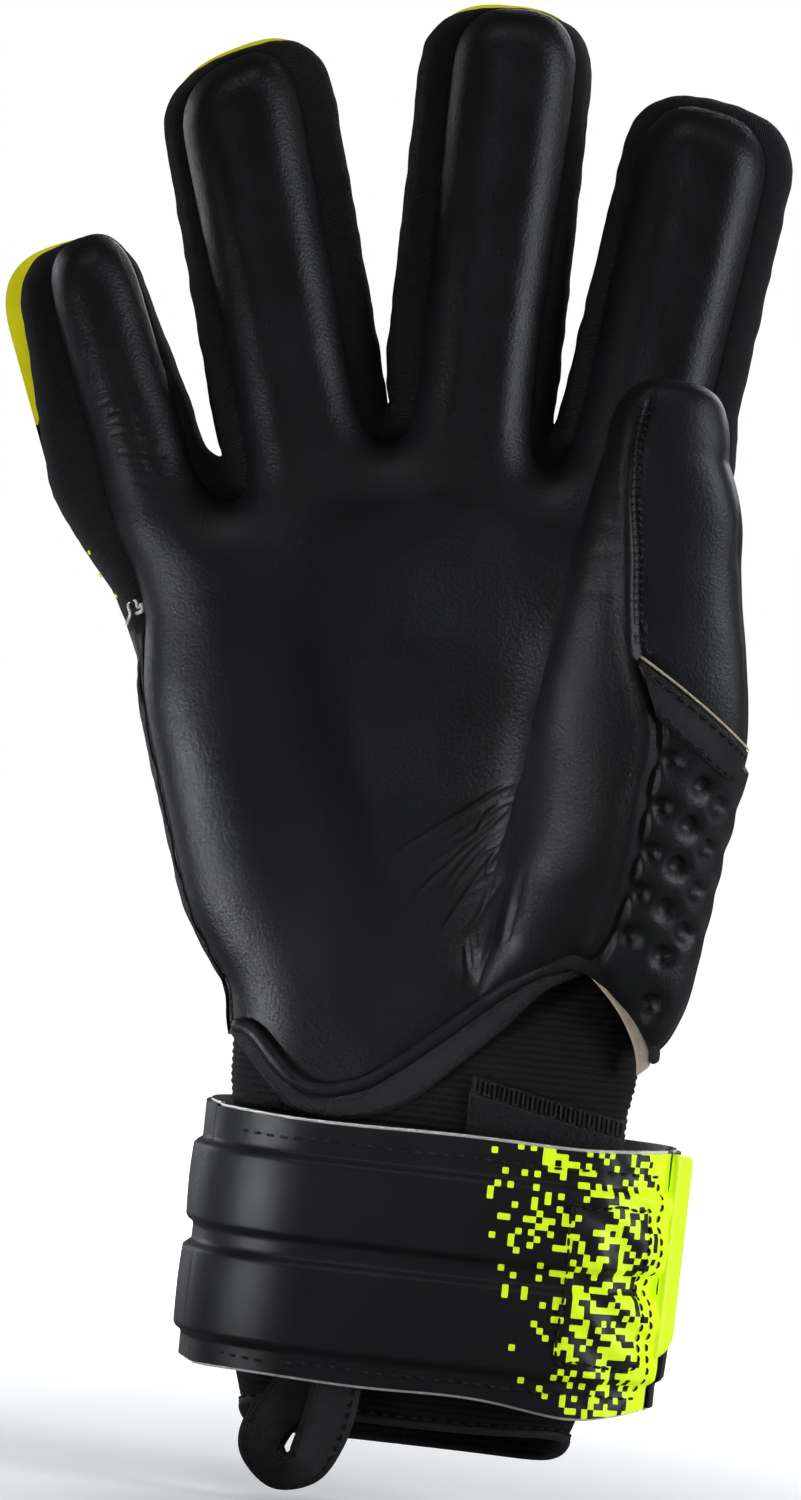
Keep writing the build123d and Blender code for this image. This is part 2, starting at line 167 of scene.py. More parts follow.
# ================================================================ node materials
class Shader:
    """A short way to write a node material. Sockets and numbers mix freely as inputs."""

    def __init__(self, name):
        self.material = bpy.data.materials.new(name)
        self.material.use_nodes = True
        self.tree = self.material.node_tree
        self.out = self.tree.nodes["Principled BSDF"]

    def node(self, kind, inputs=(), **settings):
        n = self.tree.nodes.new(kind)
        for key, value in settings.items():
            setattr(n, key, value)
        for key, value in dict(inputs).items():
            self.put(n.inputs[key], value)
        return n

    def put(self, socket, value):
        if isinstance(value, bpy.types.NodeSocket):
            self.tree.links.new(value, socket)
        elif hasattr(socket.default_value, "__len__") and not hasattr(value, "__len__"):
            socket.default_value = [value] * len(socket.default_value)
        elif hasattr(value, "__len__") and len(value) == 3 and len(socket.default_value) == 4:
            socket.default_value = (*value, 1)
        else:
            socket.default_value = value

    def math(self, op, a, b=0.0, c=0.0, clamp=False):
        return self.node("ShaderNodeMath", {0: a, 1: b, 2: c}, operation=op, use_clamp=clamp).outputs[0]

    def vector(self, op, a, b=(0, 0, 0)):
        return self.node("ShaderNodeVectorMath", {0: a, 1: b}, operation=op).outputs[0]

    def attribute(self, name):
        return self.node("ShaderNodeAttribute", attribute_name=name).outputs["Vector"]

    def split(self, vector):
        return self.node("ShaderNodeSeparateXYZ", {0: vector}).outputs

    def noise(self, vector, scale, detail=2.0, rough=0.5):
        inputs = {"Vector": vector, "Scale": scale, "Detail": detail, "Roughness": rough}
        return self.node("ShaderNodeTexNoise", inputs).outputs["Fac"]

    def cells(self, vector, scale, feature="F1"):
        inputs = {"Vector": vector, "Scale": scale}
        return self.node("ShaderNodeTexVoronoi", inputs, feature=feature).outputs["Distance"]

    def span(self, value, low, high, to_low=0.0, to_high=1.0):
        return self.node("ShaderNodeMapRange", {0: value, 1: low, 2: high, 3: to_low, 4: to_high}).outputs[0]

    def shade(self, value, low, high, colour, dark, light):
        """The colour times dark where value is low, times light where it is high."""
        return self.mix(self.span(value, low, high), times(colour, dark), times(colour, light))

    def touch(self, value, low, high, share, tone, colour, factor):
        """Mixes up to a share of the colour times factor into tone where value is high."""
        return self.mix(self.span(value, low, high, 0, share), tone, times(colour, factor))

    def mix(self, share, a, b):
        n = self.node("ShaderNodeMix", data_type="RGBA")
        self.put(n.inputs["Factor"], share)
        self.put(n.inputs[6], a)
        self.put(n.inputs[7], b)
        return n.outputs[2]

    def bump(self, height, millimetres):
        inputs = {"Height": height, "Distance": millimetres * MM, "Strength": 1.0}
        return self.node("ShaderNodeBump", inputs).outputs[0]

    def finish(self, **inputs):
        for key, value in inputs.items():
            self.put(self.out.inputs[key.replace("_", " ")], value)
        return self.material


def latex_material(name, colour, roughness):
    """Foam latex: fine pores, a little mottling, a few light specks of dust and a satin shine."""
    s = Shader(name)
    rest = s.attribute("rest")
    pores = s.cells(rest, 1.5)
    fine = s.noise(rest, 1.7, 5.0, 0.7)
    broad = s.noise(rest, 0.06, 4.0, 0.6)
    tone = s.shade(broad, 0.35, 0.65, colour, 0.8, 1.25)
    tone = s.touch(fine, 0.45, 0.75, 0.35, tone, colour, 1.9)
    speck = s.math("MULTIPLY", s.math("LESS_THAN", s.cells(rest, 0.16), 0.035), s.span(fine, 0.5, 0.7))
    tone = s.mix(s.math("MULTIPLY", speck, 0.35), tone, (0.35, 0.34, 0.32))
    height = s.math("MULTIPLY_ADD", pores, 0.6, fine)
    wear = s.span(broad, 0.3, 0.7, roughness - 0.05, roughness + 0.06)
    rough = s.math("ADD", wear, s.span(fine, 0.3, 0.7, -0.03, 0.03))
    return s.finish(Base_Color=tone, Roughness=rough, Normal=s.bump(height, 0.09), Specular_IOR_Level=0.3)


def mesh_material(name, colour):
    """Knitted mesh: rows of small open holes between soft yarns, laid out by the piece's UVs in mm. The holes
    are painted near black as shade and the raised yarns painted lighter.
    """
    s = Shader(name)
    uv = s.node("ShaderNodeUVMap").outputs[0]
    x, y, _ = s.split(s.vector("MULTIPLY", uv, (2 * math.pi / 1.15, 2 * math.pi / 1.15, 1)))
    rise, fall = (s.math("SINE", s.math(op, x, y)) for op in ("ADD", "SUBTRACT"))
    lattice = s.math("MULTIPLY", rise, fall)
    yarn = s.math("ABSOLUTE", lattice)
    fuzz = s.noise(s.attribute("rest"), 6.0, 3.0)
    # painted shade and light: colour follows the yarn's height, near black in the hollows and lighter on top
    # of the raised yarns
    tone = s.shade(yarn, 0.05, 0.7, colour, 0.04, 2.1)
    tone = s.touch(fuzz, 0.5, 0.8, 0.4, tone, colour, 2.2)
    height = s.math("MULTIPLY_ADD", fuzz, 0.35, yarn)
    return s.finish(Base_Color=tone, Roughness=0.9, Normal=s.bump(height, 0.4), Specular_IOR_Level=0.2,
                    Sheen_Weight=0.05, Sheen_Roughness=0.5)


def elastic_material(name, colour):
    """Ribbed elastic: rows of short knit stitches across the ribs, by UVs in mm, with painted shade darkening
    the grooves between the ribs.
    """
    s = Shader(name)
    uv = s.node("ShaderNodeUVMap").outputs[0]
    wobble = s.noise(uv, 0.35, 2.0)
    x, y, _ = s.split(uv)
    row = s.math("SINE", s.math("MULTIPLY_ADD", y, 2 * math.pi / 1.4, s.math("MULTIPLY", wobble, 2.5)))
    shift = s.math("MULTIPLY", row, 0.8)
    stitch = s.math("ABSOLUTE", s.math("SINE", s.math("MULTIPLY_ADD", x, math.pi / 0.7, shift)))
    fuzz = s.noise(s.attribute("rest"), 5.0, 3.0)
    height = s.math("ADD", s.math("MULTIPLY_ADD", stitch, 0.5, row), s.math("MULTIPLY", fuzz, 0.8))
    # painted shade: darker in the grooves between the ribs and lighter on their crests, following the rib
    # wave of the bump
    tone = s.shade(row, -0.9, 0.9, colour, 0.4, 1.3)
    tone = s.touch(fuzz, 0.55, 0.8, 0.4, tone, colour, 2.5)
    return s.finish(Base_Color=tone, Roughness=0.88, Normal=s.bump(height, 0.14), Specular_IOR_Level=0.2,
                    Sheen_Weight=0.05, Sheen_Roughness=0.5)


def tape_material(name, colour):
    """Narrow woven tape: a fine twill with a slightly worn, lighter tone."""
    s = Shader(name)
    rest = s.attribute("rest")
    x, _, z = s.split(rest)
    twill = s.math("SINE", s.math("MULTIPLY", s.math("ADD", x, z), 2 * math.pi / 0.55))
    cross = s.math("SINE", s.math("MULTIPLY", s.math("SUBTRACT", z, x), math.pi / 0.55))
    wear = s.noise(rest, 0.5, 4.0)
    tone = s.shade(wear, 0.4, 0.7, colour, 1, 1.8)
    height = s.math("MULTIPLY_ADD", cross, 0.4, twill)
    return s.finish(Base_Color=tone, Roughness=0.62, Normal=s.bump(height, 0.05), Specular_IOR_Level=0.35)


def fuzz_material(name, colour, scale=1.6):
    """The looped half of a hook-and-loop fastener: a nap of tiny curls."""
    s = Shader(name)
    rest = s.attribute("rest")
    curls = s.cells(rest, scale, "SMOOTH_F1")
    nap = s.noise(rest, 2.4, 4.0, 0.7)
    tone = s.shade(nap, 0.4, 0.75, colour, 0.4, 2.4)
    height = s.math("MULTIPLY_ADD", nap, 1.2, curls)
    return s.finish(Base_Color=tone, Roughness=0.95, Normal=s.bump(height, 0.5), Specular_IOR_Level=0.15,
                    Sheen_Weight=0.12, Sheen_Roughness=0.6)


def foam_material(name, colour):
    """A cut foam edge or a thin latex backing: pale, with open cells and a trace of grime."""
    s = Shader(name)
    rest = s.attribute("rest")
    cell = s.cells(rest, 3.0)
    grime = s.noise(rest, 0.35, 4.0, 0.6)
    tone = s.touch(grime, 0.5, 0.75, 0.5, colour, colour, 0.55)
    return s.finish(Base_Color=tone, Roughness=0.85, Normal=s.bump(cell, 0.12), Specular_IOR_Level=0.25)


def thread_material(name, colour):
    """Twisted sewing thread, with painted shade in the grooves of its twist."""
    s = Shader(name)
    x, y, z = s.split(s.attribute("rest"))
    ply = s.math("SINE", s.math("MULTIPLY", s.math("ADD", s.math("ADD", x, y), z), 14.0))
    # painted shade: darker in the twist's grooves and lighter on the plies, following the bump
    tone = s.shade(ply, -1, 1, colour, 0.7, 1.3)
    return s.finish(Base_Color=tone, Roughness=0.5, Normal=s.bump(ply, 0.05), Specular_IOR_Level=0.4)


# the neon yellow, also used as the colour of the painted glow of the neon cloth and print
NEON = (0.68, 0.93, 0.012)
BLACK_LATEX = (0.0062, 0.0063, 0.0070)
PIXEL = 1.25  # mm, one square of the strap's printed pattern


def neon_material(name):
    """Smooth neon-yellow rubberised cloth that also glows: its emission is painted light, not a lamp."""
    s = Shader(name)
    rest = s.attribute("rest")
    fine = s.noise(rest, 2.2, 3.0)
    broad = s.noise(rest, 0.09, 3.0)
    tone = s.shade(broad, 0.35, 0.65, NEON, 1, 0.86)
    # painted glow: the cloth emits its own neon colour although it is no lamp
    return s.finish(Base_Color=tone, Roughness=s.span(fine, 0.3, 0.7, 0.42, 0.52), Normal=s.bump(fine, 0.03),
                    Emission_Color=NEON, Emission_Strength=0.4)


def pixel_material(name, density, neon=NEON):
    """Black latex printed with neon squares that join where they meet; the squares also glow with painted
    light.

    density(shader, u, v) gives the share of squares that are neon at a place in the UVs, in mm.
    """
    s = Shader(name)
    rest = s.attribute("rest")
    u, v, _ = s.split(s.node("ShaderNodeUVMap").outputs[0])
    gu, gv = s.math("DIVIDE", u, PIXEL), s.math("DIVIDE", v, PIXEL)
    cu, cv = s.math("FLOOR", gu), s.math("FLOOR", gv)
    su = s.span(s.math("FRACT", gu), 0.36, 0.64)
    sv = s.span(s.math("FRACT", gv), 0.36, 0.64)

    def square(du, dv):
        x, y = s.math("ADD", cu, du), s.math("ADD", cv, dv)
        place = s.node("ShaderNodeCombineXYZ", {0: x, 1: y, 2: 7.0}).outputs[0]
        chance = s.node("ShaderNodeTexWhiteNoise", {"Vector": place}).outputs["Value"]
        want = density(s, s.math("MULTIPLY", x, PIXEL), s.math("MULTIPLY", y, PIXEL))
        return s.math("LESS_THAN", chance, want)

    low = s.node("ShaderNodeMix", {0: su, 2: square(0, 0), 3: square(1, 0)}).outputs[0]
    high = s.node("ShaderNodeMix", {0: su, 2: square(0, 1), 3: square(1, 1)}).outputs[0]
    level = s.node("ShaderNodeMix", {0: sv, 2: low, 3: high}).outputs[0]
    ink = s.math("GREATER_THAN", level, 0.5)
    fine = s.noise(rest, 1.7, 5.0, 0.7)
    broad = s.noise(rest, 0.08, 4.0)
    black = s.shade(broad, 0.35, 0.65, BLACK_LATEX, 1, 1.5)
    tone = s.mix(ink, black, neon)
    height = s.math("MULTIPLY_ADD", ink, 1.5, fine)
    rough = s.math("ADD", s.span(fine, 0.3, 0.7, 0.4, 0.48), s.math("MULTIPLY", ink, 0.05))
    # painted glow: the neon squares emit light of their own colour, although they are no lamp
    return s.finish(Base_Color=tone, Roughness=rough, Normal=s.bump(height, 0.05), Specular_IOR_Level=0.33,
                    Emission_Color=neon, Emission_Strength=s.math("MULTIPLY", ink, 0.38))


def strap_density(s, u, v):
    """Squares start about 2 mm right of the middle at the top edge, later lower down, and close up."""
    start = s.math("MULTIPLY_ADD", v, -0.36, 24.0)
    share = s.math("DIVIDE", s.math("SUBTRACT", u, start), s.math("SUBTRACT", 47.0, start), clamp=True)
    ramp = s.math("MULTIPLY_ADD", s.math("POWER", share, 0.85), 0.6, s.span(u, 42.5, 47.5, 0.0, 0.6))
    patch = s.noise(s.node("ShaderNodeCombineXYZ", {0: u, 1: v}).outputs[0], 0.11, 1.0)
    return s.math("MULTIPLY_ADD", s.math("SUBTRACT", patch, 0.5), s.math("MULTIPLY", share, 0.9), ramp)


def back_density(s, u, v):
    """The back's print: each point holds how neon it is."""
    return s.node("ShaderNodeAttribute", attribute_name="neon").outputs["Fac"]


MATERIALS = {
    "palm_latex": latex_material("palm_latex", BLACK_LATEX, 0.43),
    "dimpled_latex": latex_material("dimpled_latex", (0.0058, 0.006, 0.0066), 0.42),
    "back_latex": latex_material("back_latex", (0.0085, 0.0088, 0.0102), 0.47),
    "back_print": pixel_material("back_print", back_density, (0.84, 0.80, 0.02)),
    "knit_mesh": mesh_material("knit_mesh", (0.010, 0.010, 0.0112)),
    "lining_fabric": fuzz_material("lining_fabric", (0.03, 0.03, 0.034), 1.1),
    "binding_tape": tape_material("binding_tape", (0.0065, 0.0065, 0.0073)),
    "ribbed_elastic": elastic_material("ribbed_elastic", (0.0062, 0.0062, 0.0068)),
    "hook_and_loop": fuzz_material("hook_and_loop", (0.007, 0.007, 0.008)),
    "strap_latex": pixel_material("strap_latex", strap_density),
    "white_foam": foam_material("white_foam", (0.78, 0.78, 0.75)),
    "cream_foam": foam_material("cream_foam", (0.56, 0.48, 0.36)),
    "neon_fabric": neon_material("neon_fabric"),
    "black_thread": thread_material("black_thread", (0.005, 0.005, 0.0055)),
    "pale_thread": thread_material("pale_thread", (0.55, 0.53, 0.48)),
}


# ================================================================ meshes
def make_object(name, verts, faces, slot, material=None, uvs=None, normals=None):
    """A mesh object from points in mm, with its rest position kept for the materials."""
    mesh = bpy.data.meshes.new(name)
    mesh.from_pydata((np.asarray(verts) * MM).tolist(), [], faces)
    mesh.polygons.foreach_set("use_smooth", [True] * len(mesh.polygons))
    rest = mesh.attributes.new("rest", "FLOAT_VECTOR", "POINT")
    rest.data.foreach_set("vector", np.asarray(verts, np.float32).ravel())
    if uvs is not None:
        layer = mesh.uv_layers.new(name="UVMap")
        loops = np.zeros(len(mesh.loops), int)
        mesh.loops.foreach_get("vertex_index", loops)
        layer.data.foreach_set("uv", np.asarray(uvs, np.float32)[loops].ravel())
    if normals is not None:
        mesh.normals_split_custom_set_from_vertices(normals.tolist())
    obj = bpy.data.objects.new(name, mesh)
    bpy.context.scene.collection.objects.link(obj)
    mesh.materials.append(MATERIALS[material or slot])
    return obj


def surface_normals(verts, faces):
    """Area-weighted normals of the points of a surface of triangles or quads."""
    normals = np.zeros_like(verts)
    for size in (3, 4):
        group = np.array([f for f in faces if len(f) == size])
        if not len(group):
            continue
        corner = verts[group.T]
        across = corner[2] - corner[0]
        n = np.cross(across, corner[3] - corner[1]) if size == 4 else np.cross(corner[1] - corner[0], across)
        for k in range(size):
            np.add.at(normals, group[:, k], n)
    return normals / np.maximum(np.linalg.norm(normals, axis=1), 1e-9)[:, None]


def turned(verts, faces, outward):
    """The faces and their points' normals, turned over if the normals mostly point against outward."""
    normals = surface_normals(verts, faces)
    if (normals * outward).sum() < 0:
        return [f[::-1] for f in faces], -normals
    return faces, normals


def centres(verts, faces):
    return np.array([verts[list(f)].mean(0) for f in faces])


def closed_sheet(name, outer, inner, faces, slot, keep=None, material=None, uvs=None, normals=None):
    """A closed sheet from its outer and inner surfaces, which share faces. keep picks some of the faces."""
    if keep is not None:
        faces = [f for f, k in zip(faces, keep) if k]
    used = sorted({i for f in faces for i in f})
    index = {v: k for k, v in enumerate(used)}
    faces = [tuple(index[i] for i in f) for f in faces]
    n = len(used)
    edges = dict.fromkeys((a, b) for f in faces for a, b in zip(f, f[1:] + f[:1]))
    walls = [(b, a, a + n, b + n) for a, b in edges if (b, a) not in edges]
    under = [tuple(i + n for i in reversed(f)) for f in faces]
    verts = np.vstack([outer[used], inner[used]])
    both = None if uvs is None else np.vstack([uvs[used], uvs[used]])
    shade = None if normals is None else np.vstack([normals[used], -normals[used]])
    return make_object(name, verts, faces + under + walls, slot, material, both, shade)


def grid_faces(rows, columns, wrap=False):
    """Quads of a grid of points stored row by row. With wrap the last column joins the first."""
    last = columns if wrap else columns - 1
    faces = []
    for r in range(rows - 1):
        for c in range(last):
            d = (c + 1) % columns
            faces.append((r * columns + c, r * columns + d, (r + 1) * columns + d, (r + 1) * columns + c))
    return faces


# rings of one stitch: (share of its length, size, height over the surface), both in thread radii
STITCH_RINGS = [(0, 0.35, -0.25), (0.2, 0.9, 0.25), (0.5, 1.0, 0.45), (0.8, 0.9, 0.25), (1, 0.35, -0.25)]
STITCH_SIDES = 6


def stitches(name, path, normals, length=1.9, gap=0.9, radius=0.32, material="black_thread"):
    """A row of short raised stitches along a 3-D path, lying on the surface."""
    run = run_length(path)
    count = max(2, int(run[-1] / (length + gap)))
    tube = grid_faces(len(STITCH_RINGS), STITCH_SIDES, wrap=True)
    last_ring = (len(STITCH_RINGS) - 1) * STITCH_SIDES
    tube += [tuple(reversed(range(STITCH_SIDES))), tuple(last_ring + i for i in range(STITCH_SIDES))]
    verts, faces = [], []
    for k in range(count):
        middle = (k + 0.5) / count * run[-1]
        start, end = (np.array([np.interp(at, run, path[:, i]) for i in range(3)])
                      for at in (middle - length / 2, middle + length / 2))
        up = np.array([np.interp(middle, run, normals[:, i]) for i in range(3)])
        up /= np.linalg.norm(up)
        along = end - start
        side = np.cross(along / np.linalg.norm(along), up)
        faces += [tuple(len(verts) + i for i in face) for face in tube]
        for share, size, height in STITCH_RINGS:
            centre = start + along * share + up * radius * height
            for a in np.arange(STITCH_SIDES) * 2 * math.pi / STITCH_SIDES:
                verts.append(centre + radius * size * (math.cos(a) * side + math.sin(a) * up))
    return make_object(name, np.array(verts), faces, "binding_tape", material)


# ================================================================ fingers and the hand's outlines
class Finger:
    """One finger: its joints' places, and the outlines of its palm face, its gusset's edge and its back.

    Places on it are (s, u): s mm along it from its root, u mm across it towards the thumb. zones gives the s
    where the knuckle's bend starts and ends, then the middle joint's; slant is how far the tip leans. Each
    outline is (the left edge's u at foot and tip, the right edge's, the tip's s, the left foot's s, the
    right foot's s).
    """

    def __init__(self, name, knuckle_s, zones, slant, face, side, rim, back):
        self.name, self.zones, self.slant = name, zones, slant
        knuckle, middle = JOINTS[name + "_knuckle"], JOINTS[name + "_middle_joint"]
        pivot = np.array(knuckle["pos_m"]) / MM
        onward = np.array(middle["pos_m"]) / MM - pivot
        self.along = onward[[0, 2]] / np.hypot(onward[0], onward[2])
        self.across = np.array([self.along[1], -self.along[0]])
        self.root = pivot[[0, 2]] - self.along * knuckle_s
        self.outlines = {"face": face, "side": side, "rim": rim, "back": back}

    def place(self, s, u):
        """(x, z) of a place on the finger."""
        return self.root + np.multiply.outer(s, self.along) + np.multiply.outer(u, self.across)

    def frame(self, xz):
        """(s, u) of points (x, z)."""
        d = xz - self.root
        return d @ self.along, d @ self.across

    def loop(self, kind, count):
        """Up the left side, round the squarish tip and down the right side."""
        left_edge, right_edge, length, foot_left, foot_right = self.outlines[kind]
        tip, power = 15.0, 2 / 2.7

        def edge(ends, s, foot):
            return ends[0] + (ends[1] - ends[0]) * smooth((s - foot) / (length - 8 - foot))

        t = np.linspace(math.pi, 0, 60)
        across = np.sign(np.cos(t)) * np.abs(np.cos(t)) ** power
        s = length - tip + tip * np.sin(t) ** power + self.slant * across * np.sin(t) ** 0.5
        left, right = edge(left_edge, s, foot_left), edge(right_edge, s, foot_right)
        u = left + (right - left) * (across + 1) / 2
        rise, fall = np.linspace(foot_left, s[0], 12)[:-1], np.linspace(s[-1], foot_right, 12)[1:]
        s = np.concatenate([rise, s, fall])
        u = np.concatenate([edge(left_edge, rise, foot_left), u, edge(right_edge, fall, foot_right)])
        return resample(self.place(s, u), count)

    def foot(self, kind, side):
        left, right, _, foot_left, foot_right = self.outlines[kind]
        return self.place(foot_left, left[0]) if side == "left" else self.place(foot_right, right[0])


FINGERS = [
    Finger("little", 4, (-4, 12, 13, 31), 0.6, ((-7.4, -8.2), (10.2, 9.2), 42.9, -15, -3),
           ((-17.3, -14.4), (13.0, 10.0), 43.0, -5, 0), ((-16.8, -13.6), (12.0, 9.0), 42.6, -5, 0),
           ((-17.8, -18.3), (12.2, 9.4), 44.0, -5, 0)),
    Finger("ring", 9, (1, 18, 24, 50), 3.0, ((-12, -13.4), (10.5, 10.2), 74.0, 2, 8),
           ((-17, -16.8), (16.8, 16.8), 76.0, 6, 12), ((-15, -15.2), (15.5, 15.5), 75.2, 6, 12),
           ((-15.6, -15.8), (15.4, 15.4), 77.6, 6, 12)),
    Finger("middle", 9, (1, 18, 26, 52), 0.3, ((-10.8, -10.8), (11.8, 13.6), 79.9, 6, 6),
           ((-17.2, -16.8), (16.4, 16.6), 80.4, 12, 12), ((-16, -16), (15.2, 15.2), 79.4, 12, 12),
           ((-16, -16), (15.2, 15.2), 81.9, 12, 12)),
    Finger("index", 9, (1, 18, 22, 48), -0.6, ((-13.0, -13.4), (11.4, 12.0), 65.4, 5, 6),
           ((-16.6, -16.2), (17, 17), 67.8, 12, 8), ((-15.6, -15.6), (15.8, 15.8), 66.8, 12, 8),
           ((-15.6, -15.6), (16.0, 16.0), 68.0, 12, 8)),
]
CROTCHES = {  # the lowest place, as (x, z), of each outline between two fingers
    "face": [(-54.6, 178.6), (-26.1, 193.0), (5.4, 191.6)],
    "side": [(-58.5, 186.6), (-27.0, 200.6), (5.8, 200.0)],
    "rim": [(-57.9, 185.2), (-26.8, 199.0), (5.8, 198.4)],
    "back": [(-57.2, 184.0), (-26.8, 198.4), (5.8, 197.8)],
}
# the outlines, as (x, z), up the hand's little side and down its thumb side
LITTLE_HEEL = [(-45.2, 84), (-49.8, 90.2), (-55.4, 99.5), (-61.6, 116.5), (-68.6, 136.5)]
LITTLE_SIDE = {
    "face": [(-43.0, 74.5), (-44.9, 83.6), (-49.3, 90.2), (-54.9, 99.5), (-61, 116.5), (-67.6, 136.5),
             (-69.0, 147), (-69.8, 154.2), (-72.6, 162)],
    "side": [(-44.0, 74.5), (-46.2, 83.6), (-50.6, 90.2), (-56.1, 99.5), (-62.2, 116.5), (-68.9, 136.5),
             (-69.9, 143.8), (-72.3, 150), (-76.1, 157.4), (-81.0, 163.6), (-85.5, 169)],
    "rim": [(-43.0, 76), *LITTLE_HEEL, (-69.5, 143.8), (-71.9, 150), (-75.7, 157.5), (-80.6, 163.8),
            (-85.1, 169.3)],
    "back": [(-43.0, 78), *LITTLE_HEEL, (-69.6, 143.8), (-72.0, 150), (-75.8, 157.5), (-80.7, 163.7),
             (-85.3, 169.1)],
}
THUMB_EDGE = [(41.0, 196), (40, 180), (41, 160), (42.5, 140), (43.5, 120), (42.5, 100), (39.5, 88),
              (37.5, 79)]
THUMB_SIDE = {
    "face": [(38.5, 196), (38, 180), (39, 160), (41, 140), (42, 120), (41, 100), (38.5, 88), (36.5, 82)],
    "side": [(42.0, 196), (41, 180), (42, 160), (43.5, 140), (44.5, 120), (43.5, 100), (40.5, 88),
             (38.5, 82)],
    "rim": THUMB_EDGE,
    "back": THUMB_EDGE,
}
SIDE_COUNT, LOOP_COUNT, LITTLE_LOOP_COUNT, CROTCH_COUNT = 90, 170, 110, 46  # points on each length


def crotch_curve(kind, k):
    """The rounded bottom between finger k and the next one, from foot to foot."""
    a, b = FINGERS[k], FINGERS[k + 1]
    start, end, low = a.foot(kind, "right"), b.foot(kind, "left"), np.array(CROTCHES[kind][k])
    sideways = end - start
    sideways = sideways / np.linalg.norm(sideways) * (3.4 if kind == "face" else 0.5)
    t = np.linspace(0, 1, 30)[:, None]
    halves = [(start, start - a.along * np.linalg.norm(start - low) * 0.6, low - sideways, low),
              (low, low + sideways, end - b.along * np.linalg.norm(end - low) * 0.6, end)]
    parts = [(1 - t) ** 3 * p0 + 3 * t * (1 - t) ** 2 * p1 + 3 * t * t * (1 - t) * p2 + t ** 3 * p3
             for p0, p1, p2, p3 in halves]
    return resample(np.vstack(parts), CROTCH_COUNT)


def hand_outline(kind):
    """The open outline from the wrist up the little side, round the fingers and down the thumb side."""
    first, last = FINGERS[0].foot(kind, "left"), FINGERS[3].foot(kind, "right")
    sections = [curve_through([*LITTLE_SIDE[kind], first], SIDE_COUNT)[:-1]]
    for k, finger in enumerate(FINGERS):
        sections.append(finger.loop(kind, LOOP_COUNT if k else LITTLE_LOOP_COUNT)[:-1])
        if k < 3:
            sections.append(crotch_curve(kind, k)[:-1])
    sections.append(curve_through([last, *THUMB_SIDE[kind]], SIDE_COUNT))
    return np.vstack(sections)


FACE, SIDE, RIM, BACK = (hand_outline(kind) for kind in ("face", "side", "rim", "back"))
# the palm's V-shaped lower edge, from the thumb side to the little side
V_EDGE = curve_through([(36.5, 82), (30, 90.5), (18.8, 95.2), (7.4, 88.4), (-13.5, 70.6), (-19.2, 67.3),
                        (-25.6, 66.0), (-31.9, 68.2), (-38.4, 74.2), (-43, 74.5)], 90)


def nearest_finger(xz):
    """For each point, the number of the finger it lies on and its s there, or -1 where it is on the hand."""
    owner = np.full(len(xz), -1)
    along = np.zeros(len(xz))
    best = np.full(len(xz), 22.0)
    for k, finger in enumerate(FINGERS):
        s, u = finger.frame(xz)
        mine = (s > finger.zones[0] - 1.5) & (np.abs(u) < best)
        owner[mine] = k
        along[mine] = s[mine]
        best[mine] = np.abs(u[mine])
    return owner, along


# where the wrist's bend starts and ends, and how far up the heel pieces reach
WRIST_LOW, WRIST_HIGH, HEEL_TOP = 60.0, 84.0, 86.0


def point(x, y, z):
    """A place in metres for a blend."""
    return (x * MM, y * MM, z * MM)


def across_wrist(piece):
    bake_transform(piece)
    return piece


def share_out(outer, inner, faces, slot, nodes, hand_parts, material=None, uvs=None):
    """Cuts a sheet of the hand into its pieces: heel, hand, and each finger's root and tip.

    nodes gives the CAD node each finger piece stands for, such as "{finger}_{part}_face"; hand_parts
    gives (name, lowest x, highest x, CAD nodes) for the pieces on the hand.
    """
    shade = surface_normals(outer, faces)
    centre = centres(outer, faces)
    owner, along = nearest_finger(centre[:, [0, 2]])
    for k, finger in enumerate(FINGERS):
        cut = (finger.zones[1] + finger.zones[2]) / 2
        for part, keep, bend, parent in (("root", along <= cut, finger.zones[:2], "hand"),
                                         ("tip", along > cut, finger.zones[2:], finger.name + "_root")):
            keep = keep & (owner == k)
            if not keep.any():
                continue
            node = nodes.format(finger=finger.name, part=part)
            piece = closed_sheet(node + "_skin", outer, inner, faces, slot, keep, material, uvs, shade)
            (x0, z0), (x1, z1) = (finger.place(s, 0) for s in bend)
            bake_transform(piece)
            if node in frame["nodes"]:
                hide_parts(node)
    for part, low, high, replaced in hand_parts:
        mine = (owner < 0) & (centre[:, 0] >= low) & (centre[:, 0] < high)
        heel = mine & (centre[:, 2] < HEEL_TOP)
        body = mine & ~heel
        if body.any():
            piece = closed_sheet(part, outer, inner, faces, slot, body, material, uvs, shade)
            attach(piece, "hand")
            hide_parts(*replaced)
        if heel.any():
            across_wrist(closed_sheet(part + "_heel", outer, inner, faces, slot, heel, material, uvs, shade))


# ---------------------------------------------------------------- palm side
# (z, x) of the mound's and thumb's left edge, where the palm latex rises to meet it
THUMB_LEFT = [(83, 3.2), (90, 3.4), (98, 4.4), (104, 5.4), (111, 6), (120, 7.4), (131, 8), (140, 7.7),
              (150, 8.6), (162, 10), (174, 11.5), (184, 13), (190, 14.2), (195, 15.2)]
FACE_FOOT_Y, BACK_FOOT_Y = -6.0, 7.0  # depth at which the palm's and the back's edges meet the gussets
FINGER_RISE, PALM_RISE = 7.0, 9.6  # how far the latex stands out from its edge
EDGE_RING = 0.35  # how far in from a sheet's edge its first ring of points lies


def hex_grid(low, high, step):
    """Points of a triangular grid that fills a rectangle."""
    pts = []
    for r, z in enumerate(np.arange(low[1], high[1], step * 0.866)):
        xs = np.arange(low[0] + (r % 2) * step / 2, high[0], step)
        pts.append(np.stack([xs, np.full(len(xs), z)], axis=1))
    return np.vstack(pts)


